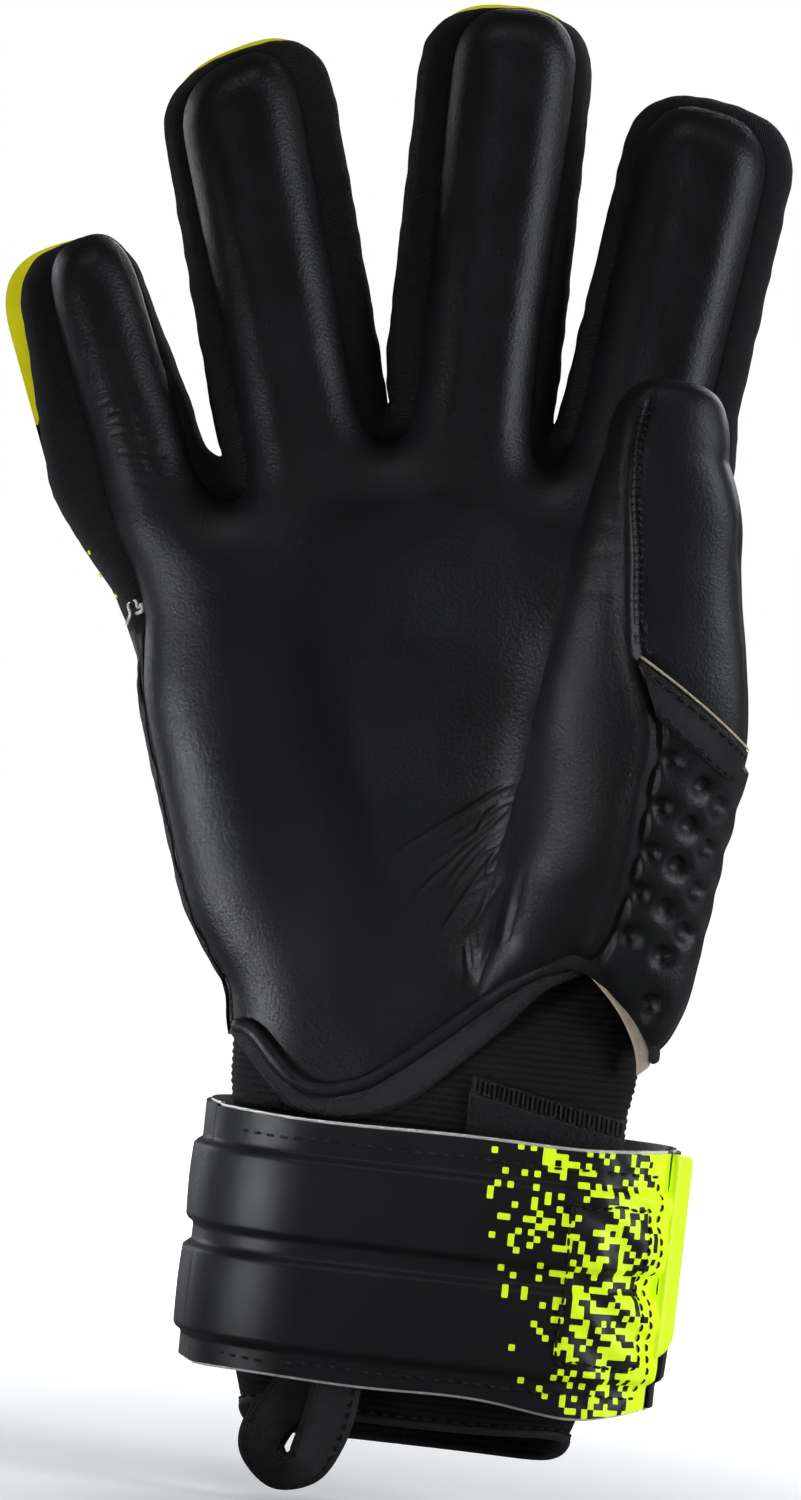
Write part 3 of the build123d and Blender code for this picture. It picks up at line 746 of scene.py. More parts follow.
def triangulate(outline, step, creased=()):
    """Points and triangles that fill an outline; creased gives (x, z, radius) of places with a finer grid."""
    outline = outline[np.concatenate([[True], np.linalg.norm(np.diff(outline, axis=0), axis=1) > 0.15])]
    low, high = outline.min(0), outline.max(0)
    pts = hex_grid(low, high, step)
    for x, z, radius in creased:
        away = np.hypot(pts[:, 0] - x, pts[:, 1] - z)
        fine = hex_grid((x - radius, z - radius), (x + radius, z + radius), step * 0.33)
        fine = fine[np.hypot(fine[:, 0] - x, fine[:, 1] - z) < radius - step * 0.4]
        pts = np.vstack([pts[away >= radius], fine])
    closed = np.vstack([outline, outline[:1]])
    inside = np.zeros(len(pts), bool)
    for (x0, z0), (x1, z1) in zip(closed[:-1], closed[1:]):
        spans = (z0 > pts[:, 1]) != (z1 > pts[:, 1])
        cross = x0 + (pts[:, 1] - z0) / (z1 - z0 if z1 != z0 else 1e-9) * (x1 - x0)
        inside ^= spans & (pts[:, 0] < cross)
    gap = distance_to(closed, pts)
    pts = pts[inside & (gap > step * 0.75)]
    tangent = np.roll(outline, -1, 0) - np.roll(outline, 1, 0)
    inward = np.stack([tangent[:, 1], -tangent[:, 0]], axis=1)
    inward /= np.maximum(np.linalg.norm(inward, axis=1), 1e-9)[:, None]
    ring = outline + inward * EDGE_RING
    ring = ring[distance_to(closed, ring) > EDGE_RING * 0.9]
    everything = np.vstack([outline, ring, pts])
    n = len(outline)
    edges = [(i, (i + 1) % n) for i in range(n)]
    verts, _, tris, _, _, _ = delaunay_2d_cdt([Vector(p) for p in everything], edges, [], 1, 1e-4)
    return np.array([tuple(v) for v in verts]), [tuple(t) for t in tris]


def palm_share(xz):
    """1 on the palm, 0 on the fingers, changing smoothly near the knuckle line."""
    aside = xz[:, 0] + 15
    line = 191.5 - np.where(aside < 0, 0.0055, 0.0019) * aside ** 2
    return 1 - smooth((xz[:, 1] - (line - 14)) / 26)


def ridge_noise(x, z, size, seed):
    """Smooth repeatable unevenness made of a few crossing waves."""
    total = np.zeros_like(x)
    for k in range(5):
        angle = seed * 1.7 + k * 2.4
        wave = (x * math.cos(angle) + z * math.sin(angle)) / size * (1 + 0.37 * k)
        total += np.sin(wave * 2 * math.pi + seed + 1.3 * k + 1.4 * np.sin(wave * 1.7)) / (1 + 0.5 * k)
    return total / 3


def crease(xz, a, b, depth, width, bow=0.0):
    """A fold from a to b that fades at both ends, bowed sideways by bow mm."""
    a, b = np.array(a, float), np.array(b, float)
    along = b - a
    size = np.linalg.norm(along)
    along = along / size
    t = (xz - a) @ along / size
    off = (xz - a) @ np.array([along[1], -along[0]]) - bow * np.sin(np.clip(t, 0, 1) * math.pi)
    ends = smooth(t / 0.25) * smooth((1 - t) / 0.25)
    return depth * ends * bell(off, width) * (t > 0) * (t < 1)


def soft_gap(xz, blur=7.0):
    """Distance from the palm's edge, blurred so that the middle of the palm has no ridges."""
    size = np.linalg.norm(np.diff(FACE, axis=0), axis=1)
    middles = (FACE[1:] + FACE[:-1]) / 2
    total = np.concatenate([np.exp(-np.linalg.norm(xz[i:i + 2000, None] - middles, axis=2) / blur) @ size
                            for i in range(0, len(xz), 2000)])
    return -blur * np.log(total / (2 * blur))


def palm_height(xz, gap):
    """How far the palm latex stands in front of its edge, in mm."""
    share = palm_share(xz)
    x, z = xz[:, 0], xz[:, 1]
    fingers = FINGER_RISE * rolled(gap / 7.6) ** 1.45 - 0.4 * smooth((gap - 7) / 5)
    side = np.minimum(gap, 60)
    dish = 5.4 * smooth((soft_gap(xz) - 7) / 24) * smooth((z - 78) / 36) * (1 - 0.35 * smooth((z - 160) / 40))
    palm = PALM_RISE * rolled(side / 14) - dish
    h = share * palm + (1 - share) * fingers
    h += share * 0.35 * ridge_noise(x, z, 46, 2.0) * smooth(gap / 10)
    h += (1 - share) * 0.18 * ridge_noise(x, z, 17, 5.0) * smooth(gap / 6)
    beside = profile(THUMB_LEFT, np.clip(z, 99, 150)) + 1.5 - x
    fillet = np.exp(-np.clip(beside, 0, 99) / 3.6) * smooth((z - 88) / 9) * smooth((166 - z) / 40)
    h += 6.0 * fillet
    for a, b, depth, width, bow in PALM_CREASES:
        h -= crease(xz, a, b, depth, width, bow)
    return h


def palm_creases():
    """Folds of the palm as (from, to, depth, width, bow).

    A fan beside the thumb's mound, a few at its foot, and wrinkles at the little finger and the knuckle line.
    """
    folds = []
    for k in range(15):
        share = k / 14
        start = np.array([8.0 - 1.8 * share + 1.2 * math.sin(2.3 * k), 132 - 18 * share])
        end = np.array([-20 + 19 * share, 110 - 19 * share])
        tail = start + (end - start) * (0.66 + 0.3 * math.sin(2.6 * k + 1))
        folds.append((start, tail, 0.30 + 0.10 * math.sin(5.3 * k), 0.38, 1.7 * math.sin(1.9 * k)))
        side = start + (end - start) * (0.3 + 0.15 * math.sin(3.1 * k))
        folds.append((side, side + np.array([-6 + 2 * math.sin(k), -5]), 0.10, 0.34, 0.7 * math.sin(4 * k)))
    for k in range(6):
        top = np.array([4.2 - 1.0 * k, 103 - 1.0 * k])
        folds.append((top, top + [-1.2 + 0.8 * k, -11], 0.26, 0.38, 0.8 * math.sin(2.1 * k)))
    little = FINGERS[0]
    for k in range(17):
        share = k / 16
        s, u = 12.5 - 20 * share, -4.2 + 4.5 * share + 2.2 * math.sin(2.4 * k)
        slope, reach = 0.22 - 0.75 * share, 5.0 + 1.8 * math.sin(2.9 * k)
        a, b = little.place(s, u), little.place(s + reach * math.sin(slope), u + reach * math.cos(slope))
        folds.append((a, b, 0.19 + 0.05 * math.sin(3.7 * k), 0.32, 0.5 * math.sin(4.1 * k)))
    for k, finger in enumerate(FINGERS[1:]):
        for j in range(3):
            s = -4 + 4.2 * j
            a, b = finger.place(s, -9 + 2 * j), finger.place(s + math.sin(j + k), 9 - 1.5 * j)
            folds.append((a, b, 0.14, 1.1, 0.8))
    return folds


PALM_CREASES = palm_creases()
CREASED = [(-5, 112, 22), (-75.5, 188, 11), (8, 99, 7)]  # where the folds need a finer grid
palm_xz, palm_tris = triangulate(np.vstack([FACE, V_EDGE[1:-1]]), SHEET_STEP, CREASED)
palm_gap = distance_to(FACE, palm_xz)
palm_y = FACE_FOOT_Y - palm_height(palm_xz, palm_gap)
palm_outer = np.stack([palm_xz[:, 0], palm_y, palm_xz[:, 1]], axis=1)


def facing_front(verts, tris):
    """The triangles, turned so that they face -Y."""
    a, b, c = (verts[[t[k] for t in tris]] for k in range(3))
    if np.cross(b - a, c - a)[:, 1].sum() > 0:
        return [t[::-1] for t in tris]
    return tris


palm_tris = facing_front(palm_outer, palm_tris)


def inside_of(outer, gap, direction=1):
    """The inner surface of a latex sheet: behind the outer one, thinner at the edge."""
    inner = outer.copy()
    inner[:, 1] += direction * LATEX * np.clip(gap / 3.0, 0.35, 1)
    return inner


share_out(palm_outer, inside_of(palm_outer, palm_gap), palm_tris, "palm_latex", "{finger}_{part}_face",
          [("palm_sheet", -999, 999, ["palm_latex"])])


# ---------------------------------------------------------------- gussets between palm and back
# across the strip: (share of the way out to the side outline, depth, tuck under the latex, bulge)
STRIP_ROWS = [(0, -4.6, 0.9, 0), (0, -5.5, 0.1, 0), (0.35, -4.9, 0, 0), (0.7, -3.6, 0, 0), (0.95, -1.6, 0, 0),
              (1.05, 0.8, 0, 0.2), (1.0, 3.2, 0, 0.2), (0.5, 5.4, 0, 0.1), (0, 6.6, 0, 0), (0, 7.4, 0.9, 0)]


def side_strip():
    """The strip round the hand's edge, row by row from under the palm latex to under the back."""
    tangent = np.gradient(FACE, axis=0)
    inward = np.stack([tangent[:, 1], -tangent[:, 0]], axis=1)
    inward /= np.linalg.norm(inward, axis=1)[:, None]
    wrap = smooth((153 - FACE[:, 1]) / 10) * (FACE[:, 0] < -30)
    rows = []
    for share, y, tuck, bulge in STRIP_ROWS:
        base = FACE if y < 2 else RIM
        xz = base + (SIDE - base) * share + inward * (tuck * (1 - wrap) - bulge)[:, None]
        rows.append(np.column_stack([xz[:, 0], np.full(len(xz), y) - wrap * 0.4 * (y < -4), xz[:, 1]]))
    coarse = np.array(rows)
    count = 20
    fine = np.empty((count, len(FACE), 3))
    for c in range(len(FACE)):
        fine[:, c] = curve_through(coarse[:, c], count)
    return fine


strip = side_strip()
strip_rows, strip_columns = strip.shape[:2]
strip_outer = strip.reshape(-1, 3)
strip_faces, strip_normals = turned(strip_outer, grid_faces(strip_rows, strip_columns),
                                    strip_outer - strip_outer.mean(0))
strip_noise = 0.22 * ridge_noise(strip_outer[:, 0], strip_outer[:, 2], 9, 3.0)
strip_outer = strip_outer + strip_normals * strip_noise[:, None]
strip_inner = strip_outer - strip_normals * KNIT
around = np.tile(run_length(FACE), strip_rows)
across = np.array([run_length(strip[:, c]) for c in range(strip_columns)]).T.ravel()
strip_uv = np.column_stack([around, across])
strip_centres = centres(strip_outer, strip_faces)
# below the little finger's root the palm's latex wraps round the hand's edge
latex_part = (strip_centres[:, 2] < 150.5) & (strip_centres[:, 0] < -30)
knit_faces, wrap_faces = ([f for f, m in zip(strip_faces, latex_part) if m == part] for part in (False, True))
share_out(strip_outer, strip_inner, knit_faces, "knit_mesh", "{finger}_{part}_gusset",
          [("little_side_strip", -999, -66, ["little_side_gusset"]),
           ("little_ring_strip", -66, -42, ["little_ring_gusset"]),
           ("ring_middle_strip", -42, -10, ["ring_middle_gusset"]),
           ("middle_index_strip", -10, 20, ["middle_index_gusset"]),
           ("thumb_side_strip", 20, 999, ["thumb_side_gusset"])], uvs=strip_uv)
share_out(strip_outer, strip_inner, wrap_faces, "palm_latex", "{finger}_{part}_wrap",
          [("palm_wrap", -999, 999, [])], uvs=strip_uv)


# ---------------------------------------------------------------- back of the hand
BACK_RISE = 5.2  # how far the back latex stands out from its edge
BACK_FOOT_Z = 78.0


def back_height(xz, gap):
    """How far the back latex stands behind its edge: rolled edge, finger bars and a knuckle panel."""
    h = BACK_RISE * rolled(gap / 6.5)
    x, z = xz[:, 0], xz[:, 1]
    share = palm_share(xz)
    h += share * 1.6 * smooth((gap - 6) / 22)
    for finger in FINGERS:
        s, u = finger.frame(xz)
        near = (np.abs(u) < 14) * smooth((gap - 2.2) / 1.5)
        for k in range(3):
            bar = finger.zones[1] - 8 + 17 * k
            if bar <= finger.outlines["back"][2] - 10:
                h -= near * 1.5 * bell(s - bar - 0.05 * u * u, 1.1)
    for finger in FINGERS:
        s, u = finger.frame(xz)
        ridge = smooth((s + 62) / 6) * smooth((-14 - s) / 6)
        h += ridge * 1.5 * smooth((8.0 - np.abs(u)) / 1.6) * smooth((gap - 4) / 3)
    cuff_line = smooth((z - 90) / 1.2) * smooth((97 - z) / 1.2)
    h += 0.9 * cuff_line * smooth((gap - 3) / 2)
    h += 0.25 * ridge_noise(x, z, 38, 7.0) * smooth(gap / 8)
    return h


def neon_share(xz, gap):
    """How neon the back's print is: solid at the outer edges of the fingertips, breaking up inwards."""
    best = np.zeros(len(xz))
    for k, finger in enumerate(FINGERS):
        s, u = finger.frame(xz)
        size = finger.outlines["back"][2]
        tip = smooth((s - (size - 26)) / 26) * np.clip(1.7 - gap / 7, 0, 2)
        left = smooth((s - 9) / 6) * np.clip(1.9 - gap / 4.5, 0, 2) * (u < 0) * (k == 0)
        best = np.maximum(best, (np.abs(u) < 22) * np.maximum(tip * (1.25 - 0.2 * k), left))
    return best


back_foot = [(37.5, 79), (20, BACK_FOOT_Z), (-20, BACK_FOOT_Z), (-43, BACK_FOOT_Z)]
back_xz, back_tris = triangulate(np.vstack([BACK, curve_through(back_foot, 60)[1:-1]]), SHEET_STEP * 1.1)
back_gap = distance_to(BACK, back_xz)
back_outer = np.column_stack([back_xz[:, 0], BACK_FOOT_Y + back_height(back_xz, back_gap), back_xz[:, 1]])
back_tris = [t[::-1] for t in facing_front(back_outer, back_tris)]
before = set(bpy.data.objects)
share_out(back_outer, inside_of(back_outer, back_gap, -1), back_tris, "back_latex", "{finger}_{part}_back",
          [("backhand", -999, 999, ["backhand_panel"])], "back_print", back_xz + 300)


def paint_neon(obj):
    """Stores on each point how neon the print is there."""
    co = np.zeros(len(obj.data.vertices) * 3)
    obj.data.vertices.foreach_get("co", co)
    xz = co.reshape(-1, 3)[:, [0, 2]] / MM
    attribute = obj.data.attributes.new("neon", "FLOAT", "POINT")
    attribute.data.foreach_set("value", neon_share(xz, distance_to(BACK, xz)).astype(np.float32))


for obj in set(bpy.data.objects) - before:
    paint_neon(obj)


def lining(name, outer, tris, gap, direction, node):
    """The soft lining inside one side of the hand."""
    centre = centres(outer, tris)
    owner, _ = nearest_finger(centre[:, [0, 2]])
    keep = (owner < 0) & (centre[:, 2] > 96) & (np.array([gap[list(t)].min() for t in tris]) > 4)
    shift = np.array([0, direction, 0])
    piece = closed_sheet(name, outer + shift * 2.15, outer + shift * 3.0, tris, "lining_fabric", keep,
                         normals=surface_normals(outer, tris))
    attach(piece, "hand")
    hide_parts(node)


lining("palm_lining_skin", palm_outer, palm_tris, palm_gap, 1, "palm_lining")
lining("backhand_lining_skin", back_outer, back_tris, back_gap, -1, "backhand_lining")


# ---------------------------------------------------------------- thumb and the mound at its base
# the thumb's curves as (z, value): right edge, depth of its centre, reach of its front, x of its seam
THUMB_BOTTOM, THUMB_SHOULDER, THUMB_TOP = 83.0, 195.0, 209.0
THUMB_POWER = 2.3  # how square its rings are
THUMB_SKIN = 1.8
THUMB_RIGHT = [(83, 38.6), (86, 40.4), (90, 42.2), (101, 44.6), (111, 46.2), (120, 47.2), (131, 48.6),
               (140, 49.4), (150, 48.6), (162, 46.4), (174, 44.3), (184, 43.2), (190, 41.2), (195, 39.0)]
THUMB_CENTRE_Y = [(83, -13), (95, -13), (105, -14), (120, -17), (135, -25), (146, -32), (174, -39.2),
                  (195, -44.5)]
THUMB_FRONT = [(83, 4.2), (86, 7.0), (90, 9.5), (97, 12), (105, 15), (112, 17.5), (120, 19), (135, 16.5),
               (146, 12.8), (174, 12), (195, 12)]
THUMB_SEAM = [(83, 23.6), (95, 24.2), (98, 25.3), (101, 26.7), (109, 28.8), (129, 30.6), (144, 31),
              (150, 28.6), (156, 26.2), (164, 24.6), (174, 23.3), (187.2, 21.2), (198.8, 20.8), (209, 23)]
# the tape over the dimpled pad: the ends of its two edges, and the slope it follows
TAPE_TOP = np.array([(26.0, 156.0), (49.5, 140.6)])
TAPE_LOW = np.array([(30.6, 145.2), (48.8, 132.6)])
TAPE_SLOPE = -0.68
LEFT_COUNT, RIGHT_COUNT, BEHIND_COUNT = ((36, 44, 40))
LATEX_BEHIND = BEHIND_COUNT // 4  # of the columns behind the thumb, those that the palm's latex covers


def thumb_section(z):
    """Centre x, half width, centre y and front depth of the thumb at height z."""
    low = np.minimum(z, THUMB_SHOULDER)
    left, right = profile(THUMB_LEFT, low), profile(THUMB_RIGHT, low)
    rise = np.clip((z - THUMB_SHOULDER) / (THUMB_TOP - THUMB_SHOULDER), 0, 1)
    closing = np.clip(1 - rise ** 2.6, 0, 1) ** (1 / 2.6)
    centre_y = profile(THUMB_CENTRE_Y, low) - (z - low) * math.tan(math.radians(14))
    return (left + right) / 2, (right - left) / 2 * closing, centre_y, profile(THUMB_FRONT, low) * closing


def thumb_front_y(x, z):
    """Where the thumb's front surface is at (x, z)."""
    centre, half, centre_y, front = thumb_section(z)
    across = np.clip(np.abs((x - centre) / half), 0, 1)
    return centre_y - front * (1 - across ** THUMB_POWER) ** (1 / THUMB_POWER)


def thumb_row(z):
    """One horizontal ring of the thumb: left edge to seam, seam to right edge, then back behind it.

    Low down, what is behind it opens into the mound, which reaches the palm's surface.
    """
    centre, half, centre_y, front = (float(v) for v in thumb_section(np.array(z)))
    seam = float(profile(THUMB_SEAM, np.array(z)))
    lean = np.clip((centre - seam) / max(half, 1e-3), -0.96, 0.96)
    seam_angle = math.acos(math.copysign(abs(lean) ** (THUMB_POWER / 2), lean))
    depth = min(12.0, front + 1.0) if z > THUMB_SHOULDER else 12.0

    def arc(angle, reach):
        x = centre - half * np.sign(np.cos(angle)) * np.abs(np.cos(angle)) ** (2 / THUMB_POWER)
        return np.column_stack([x, centre_y + reach * np.abs(np.sin(angle)) ** (2 / THUMB_POWER)])

    before = arc(np.concatenate([np.linspace(0, seam_angle, LEFT_COUNT, endpoint=False),
                                 np.linspace(seam_angle, math.pi, RIGHT_COUNT, endpoint=False)]), -front)
    behind = arc(np.linspace(math.pi, 2 * math.pi, BEHIND_COUNT, endpoint=False), depth)
    left, right = centre - half, centre + half
    edge = min(float(np.interp(z, *THUMB_SIDE_FACE)), right) + 1.0
    under = [(right, centre_y), (right - 0.3, centre_y * 0.6), (max(edge, right - 3.5), -1.5),
             (edge - 4, -3.5), ((left + edge) / 2, -6), (left + 1, -8.5), (left - 3.2, -9.4),
             (left - 1.6, centre_y * 0.55 - 5), (left, centre_y)]
    mound = curve_through(under, BEHIND_COUNT + 1)[:-1]
    behind += (mound - behind) * (1 - smooth((z - 112) / 40))
    return np.column_stack([np.vstack([before, behind]), np.full(LEFT_COUNT + RIGHT_COUNT + BEHIND_COUNT, z)])


THUMB_SIDE_FACE = tuple(np.array(sorted((z, x) for x, z in THUMB_SIDE["face"])).T)
straight_rows = 140
thumb_zs = np.concatenate([np.linspace(THUMB_BOTTOM, THUMB_SHOULDER, straight_rows, endpoint=False),
                           THUMB_SHOULDER + 13.95 * np.sin(np.linspace(0, math.pi / 2, 16))])
thumb = np.array([thumb_row(z) for z in thumb_zs])
thumb_rows, thumb_columns = thumb.shape[:2]
thumb_base = thumb.reshape(-1, 3)
# the mound's foot is moved to the palm's V-shaped edge, less and less up to MOUND_FOOT_TOP
MOUND_FOOT_TOP = 122.0
palm_edge = curve_through([(-4, 79), (2, 84), (7.4, 88.6), (18.8, 95.2), (23.5, 96.2), (31, 90.2), (35, 86.0),
                           (38.6, 81.4), (44, 79)], 80)
foot_level = np.interp(thumb_base[:, 0], *palm_edge.T)
low_part = thumb_base[:, 2] < MOUND_FOOT_TOP
foot_share = ((MOUND_FOOT_TOP - thumb_base[:, 2]) / (MOUND_FOOT_TOP - THUMB_BOTTOM)) ** 2
thumb_base[low_part, 2] += ((foot_level - THUMB_BOTTOM) * foot_share)[low_part]
thumb_faces, thumb_normals = turned(thumb_base, grid_faces(thumb_rows, thumb_columns, wrap=True),
                                    thumb_base - np.repeat(thumb.mean(1), thumb_columns, axis=0))

# (x, z) of the pad's dimples
DIMPLES = [(34.6, 137.3), (33.9, 128.3), (32.9, 119.3), (31.9, 111.3), (31.2, 102.8),
           (41.4, 133.0), (40.0, 125.2), (38.7, 117.2), (37.5, 108.8), (38.0, 99.6), (36.8, 90.0),
           (45.6, 129.6), (44.5, 121.2), (43.4, 113.0), (42.0, 104.6)]


def thumb_relief(points, normals):
    """Height of seams, dimples and folds on the thumb and mound, in mm along the normal."""
    x, z = points[:, 0], points[:, 2]
    front = smooth((-normals[:, 1] + 0.15) / 0.3) * smooth((207.5 - z) / 5)
    past_seam = x - profile(THUMB_SEAM, z)
    d = -1.3 * bell(past_seam - 0.3, 0.55) * front
    d -= 0.7 * smooth(past_seam / 1.0) * front
    d += 0.6 * bell(past_seam + 1.9, 1.6) * front
    tape_z = TAPE_LOW[0][1] + (x - TAPE_LOW[0][0]) * TAPE_SLOPE
    pad = smooth((past_seam - 0.5) / 1.5) * smooth((tape_z + 6 - z) / 2)
    d += pad * 1.5
    faces_front = smooth((-normals[:, 1] + 0.6) / 0.4)
    for cx, cz in DIMPLES:
        off = np.hypot(x - cx, z - cz)
        d -= pad * 2.5 * bell(off, 1.75) * faces_front
        d -= pad * 0.8 * bell(off, 3.3) * faces_front
    edge_line = 40.5 + 3.0 * np.sin((z - 170) / 26)
    layer = smooth((z - 173) / 6) * smooth((206 - z) / 5) * front
    d -= layer * 0.55 * smooth((x - edge_line) / 1.6)
    d += 0.22 * ridge_noise(x, z, 26, 11.0)
    left_side = smooth((-past_seam) / 4)
    for k in range(7):
        start = (3.5 + 0.9 * k, 97.0 + 0.5 * math.sin(2.1 * k))
        end = (5.0 + 0.8 * k + math.sin(1.7 * k), 112 + 3.0 * math.sin(2.9 * k))
        d -= crease(points[:, [0, 2]], start, end, 0.35, 0.6, 0.7 * math.sin(3.3 * k)) * left_side
    for k in range(5):
        z0 = 168 + 6.5 * k
        d -= crease(points[:, [0, 2]], (13, z0), (22, z0 + 2.2 * math.sin(1.9 * k)), 0.16, 0.9, 0.5)
    return d


thumb_outer = thumb_base + thumb_normals * thumb_relief(thumb_base, thumb_normals)[:, None]
thumb_normals = surface_normals(thumb_outer, thumb_faces)
thumb_inner = thumb_base - thumb_normals * THUMB_SKIN
thumb_inner[:, 2] = np.minimum(thumb_inner[:, 2], THUMB_TOP - 1.4)
top_ring = list(range((thumb_rows - 1) * thumb_columns, thumb_rows * thumb_columns))
crown = len(thumb_outer)
thumb_outer = np.vstack([thumb_outer, thumb_outer[top_ring].mean(0) + [0, 0, 0.1]])
thumb_inner = np.vstack([thumb_inner, thumb_inner[top_ring].mean(0)])
cap_faces = [(a, b, crown) for a, b in zip(top_ring, top_ring[1:] + top_ring[:1])]
cap_faces, _ = turned(thumb_outer, cap_faces, [0, 0, 1])
all_thumb = thumb_faces + cap_faces
thumb_shade = surface_normals(thumb_outer, all_thumb)
thumb_centre = centres(thumb_outer, all_thumb)
quad_column = np.tile(np.arange(thumb_columns), thumb_rows)  # the cap's triangles follow the last row's quads
latex_side = (quad_column < LEFT_COUNT) | (quad_column >= thumb_columns - LATEX_BEHIND)
tape_line = TAPE_TOP[0][1] - 5 + (thumb_centre[:, 0] - TAPE_TOP[0][0]) * TAPE_SLOPE
below_tape = thumb_centre[:, 2] < np.where(quad_column < LEFT_COUNT + RIGHT_COUNT, tape_line, 136.0)
# heights at which the thumb's two bends start and end, and at which its pieces are cut between them
SPREAD_LOW, SPREAD_HIGH, THUMB_CUT, BEND_LOW, BEND_HIGH = 131.0, 161.0, 161.7, 162.5, 189.0


def thumb_piece(name, keep, slot, part, nodes):
    if keep.any():
        piece = closed_sheet(name, thumb_outer, thumb_inner, all_thumb, slot, keep, normals=thumb_shade)
        place_on_thumb(piece, part)
        if nodes:
            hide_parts(*nodes)


def place_on_thumb(piece, part):
    """The mound's pieces ride on the hand; higher ones are only fixed where they are, on no body."""
    if part == "mound":
        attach(piece, "hand")
    elif part == "root":
        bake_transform(piece)
    else:
        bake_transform(piece)


for part, low, high, palm_node, pad_nodes, back_nodes in (
        ("mound", 0, SPREAD_LOW, "thenar_panel", ["dimple_pad"], []),
        ("root", SPREAD_LOW, THUMB_CUT, "thumb_root_palm_panel", [], ["thumb_root_back_panel"]),
        ("tip", THUMB_CUT, 999, "thumb_tip_palm_panel", [], ["thumb_tip_back_panel"])):
    level = (thumb_centre[:, 2] >= low) & (thumb_centre[:, 2] < high)
    thumb_piece(f"thumb_{part}_palm", level & latex_side, "palm_latex", part, [palm_node])
    thumb_piece(f"thumb_{part}_pad", level & ~latex_side & below_tape, "dimpled_latex", part, pad_nodes)
    thumb_piece(f"thumb_{part}_back", level & ~latex_side & ~below_tape, "back_latex", part, back_nodes)


# ================================================================ swept and banded pieces
def tube_along(name, path, radius, slot, material=None, sides=10):
    """A cord along a 3-D path, with rounded ends."""
    tangent = np.gradient(path, axis=0)
    tangent /= np.linalg.norm(tangent, axis=1)[:, None]
    out = np.tile([0.0, -1.0, 0.0], (len(path), 1))
    out -= tangent * (out * tangent).sum(1)[:, None]
    out /= np.linalg.norm(out, axis=1)[:, None]
    side = np.cross(tangent, out)
    run = run_length(path)
    size = radius * rolled(np.minimum(run, run[-1] - run) / radius + 0.05)
    verts = np.stack([path + size[:, None] * (math.cos(a) * side + math.sin(a) * out)
                      for a in np.arange(sides) * 2 * math.pi / sides], axis=1).reshape(-1, 3)
    faces = [f[::-1] for f in grid_faces(len(path), sides, wrap=True)]
    faces.append(tuple(range(sides)))
    faces.append(tuple(range(len(verts) - 1, len(verts) - sides - 1, -1)))
    return make_object(name, verts, faces, slot, material)


def band(name, first, second, thickness, slot, crown, rows=7):
    """A flat tape between two 3-D edges, with its middle raised by crown mm and its edges rounded."""
    share = np.linspace(0, 1, rows)
    outer = (first + (second - first) * share[:, None, None]).reshape(-1, 3)
    faces, normals = turned(outer, grid_faces(rows, len(first)), [0, -1, 0])
    rise = crown * rolled(np.minimum(share, 1 - share) * 5)
    outer = outer + normals * np.repeat(rise, len(first))[:, None]
    width = np.linalg.norm(second - first, axis=1).mean()
    uv = np.column_stack([np.tile(run_length(first), rows), np.repeat(share * width, len(first))])
    return closed_sheet(name, outer, outer - normals * thickness, faces, slot, uvs=uv)


def lift(xz, y):
    """Points (x, z) at the depth y."""
    return np.column_stack([xz[:, 0], np.zeros(len(xz)) + y, xz[:, 1]])


# ---------------------------------------------------------------- tape across the thumb
TAPE_COLUMNS, TAPE_ROWS = 40, 12
share = np.linspace(0, 1, TAPE_COLUMNS)[:, None]
tape_top = TAPE_TOP[0] + (TAPE_TOP[1] - TAPE_TOP[0]) * share + np.sin(share * math.pi) * [[0.1, 0.5]]
tape_low = TAPE_LOW[0] + (TAPE_LOW[1] - TAPE_LOW[0]) * share + np.sin(share * math.pi) * [[-0.1, -0.3]]


def on_thumb(xz, height):
    """Points (x, z) put height mm in front of the thumb's surface."""
    centre, half, _, _ = thumb_section(xz[:, 1])
    x = np.minimum(xz[:, 0], centre + half * 0.995)
    return lift(xz, thumb_front_y(x, xz[:, 1]) - height)


tape_grid = [tape_top + (tape_low - tape_top) * s for s in np.linspace(0, 1, TAPE_ROWS)]
tape_lift = [0.7] + [1.5] * (TAPE_ROWS - 2) + [0.7]
tape_outer = np.vstack([on_thumb(row, up) for row, up in zip(tape_grid, tape_lift)])
tape_faces, tape_normals = turned(tape_outer, grid_faces(TAPE_ROWS, TAPE_COLUMNS), [0, -1, 0])
tape_inner = tape_outer - tape_normals * 1.4
tape = closed_sheet("pad_binding_tape", tape_outer, tape_inner, tape_faces, "binding_tape",
                    uvs=tape_outer[:, [0, 2]])
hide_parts("pad_binding")
place_on_thumb(tape, "root")
cream_path = on_thumb(tape_top + [[0.1, 0.35]], 1.0)
place_on_thumb(tube_along("pad_binding_edge", cream_path, 0.27, "cream_foam", sides=6), "root")
front_normal = np.tile([0.35, -1.0, 0.1], (TAPE_COLUMNS, 1))
for label, part in (("upper", 0.16), ("lower", 0.84)):
    row = on_thumb(tape_top + (tape_low - tape_top) * part, 1.62)
    place_on_thumb(stitches("pad_tape_stitch_" + label, row, front_normal), "root")


# ---------------------------------------------------------------- zigzag seam of the thumb
def zigzag(name, low, high, part):
    """Black zigzag thread along the seam between the thumb's two panels."""
    zs = np.arange(low, high, 0.75)
    xs = profile(THUMB_SEAM, zs) + 0.5 + 0.75 * np.where(np.arange(len(zs)) % 2, 1, -1)
    path = lift(np.column_stack([xs, zs]), thumb_front_y(xs, zs) + 0.05)
    place_on_thumb(tube_along(name, path, 0.24, "binding_tape", "black_thread", sides=5), part)


zigzag("thumb_root_zigzag", 158.5, 161.5, "root")
zigzag("thumb_tip_zigzag", 162, 204, "tip")


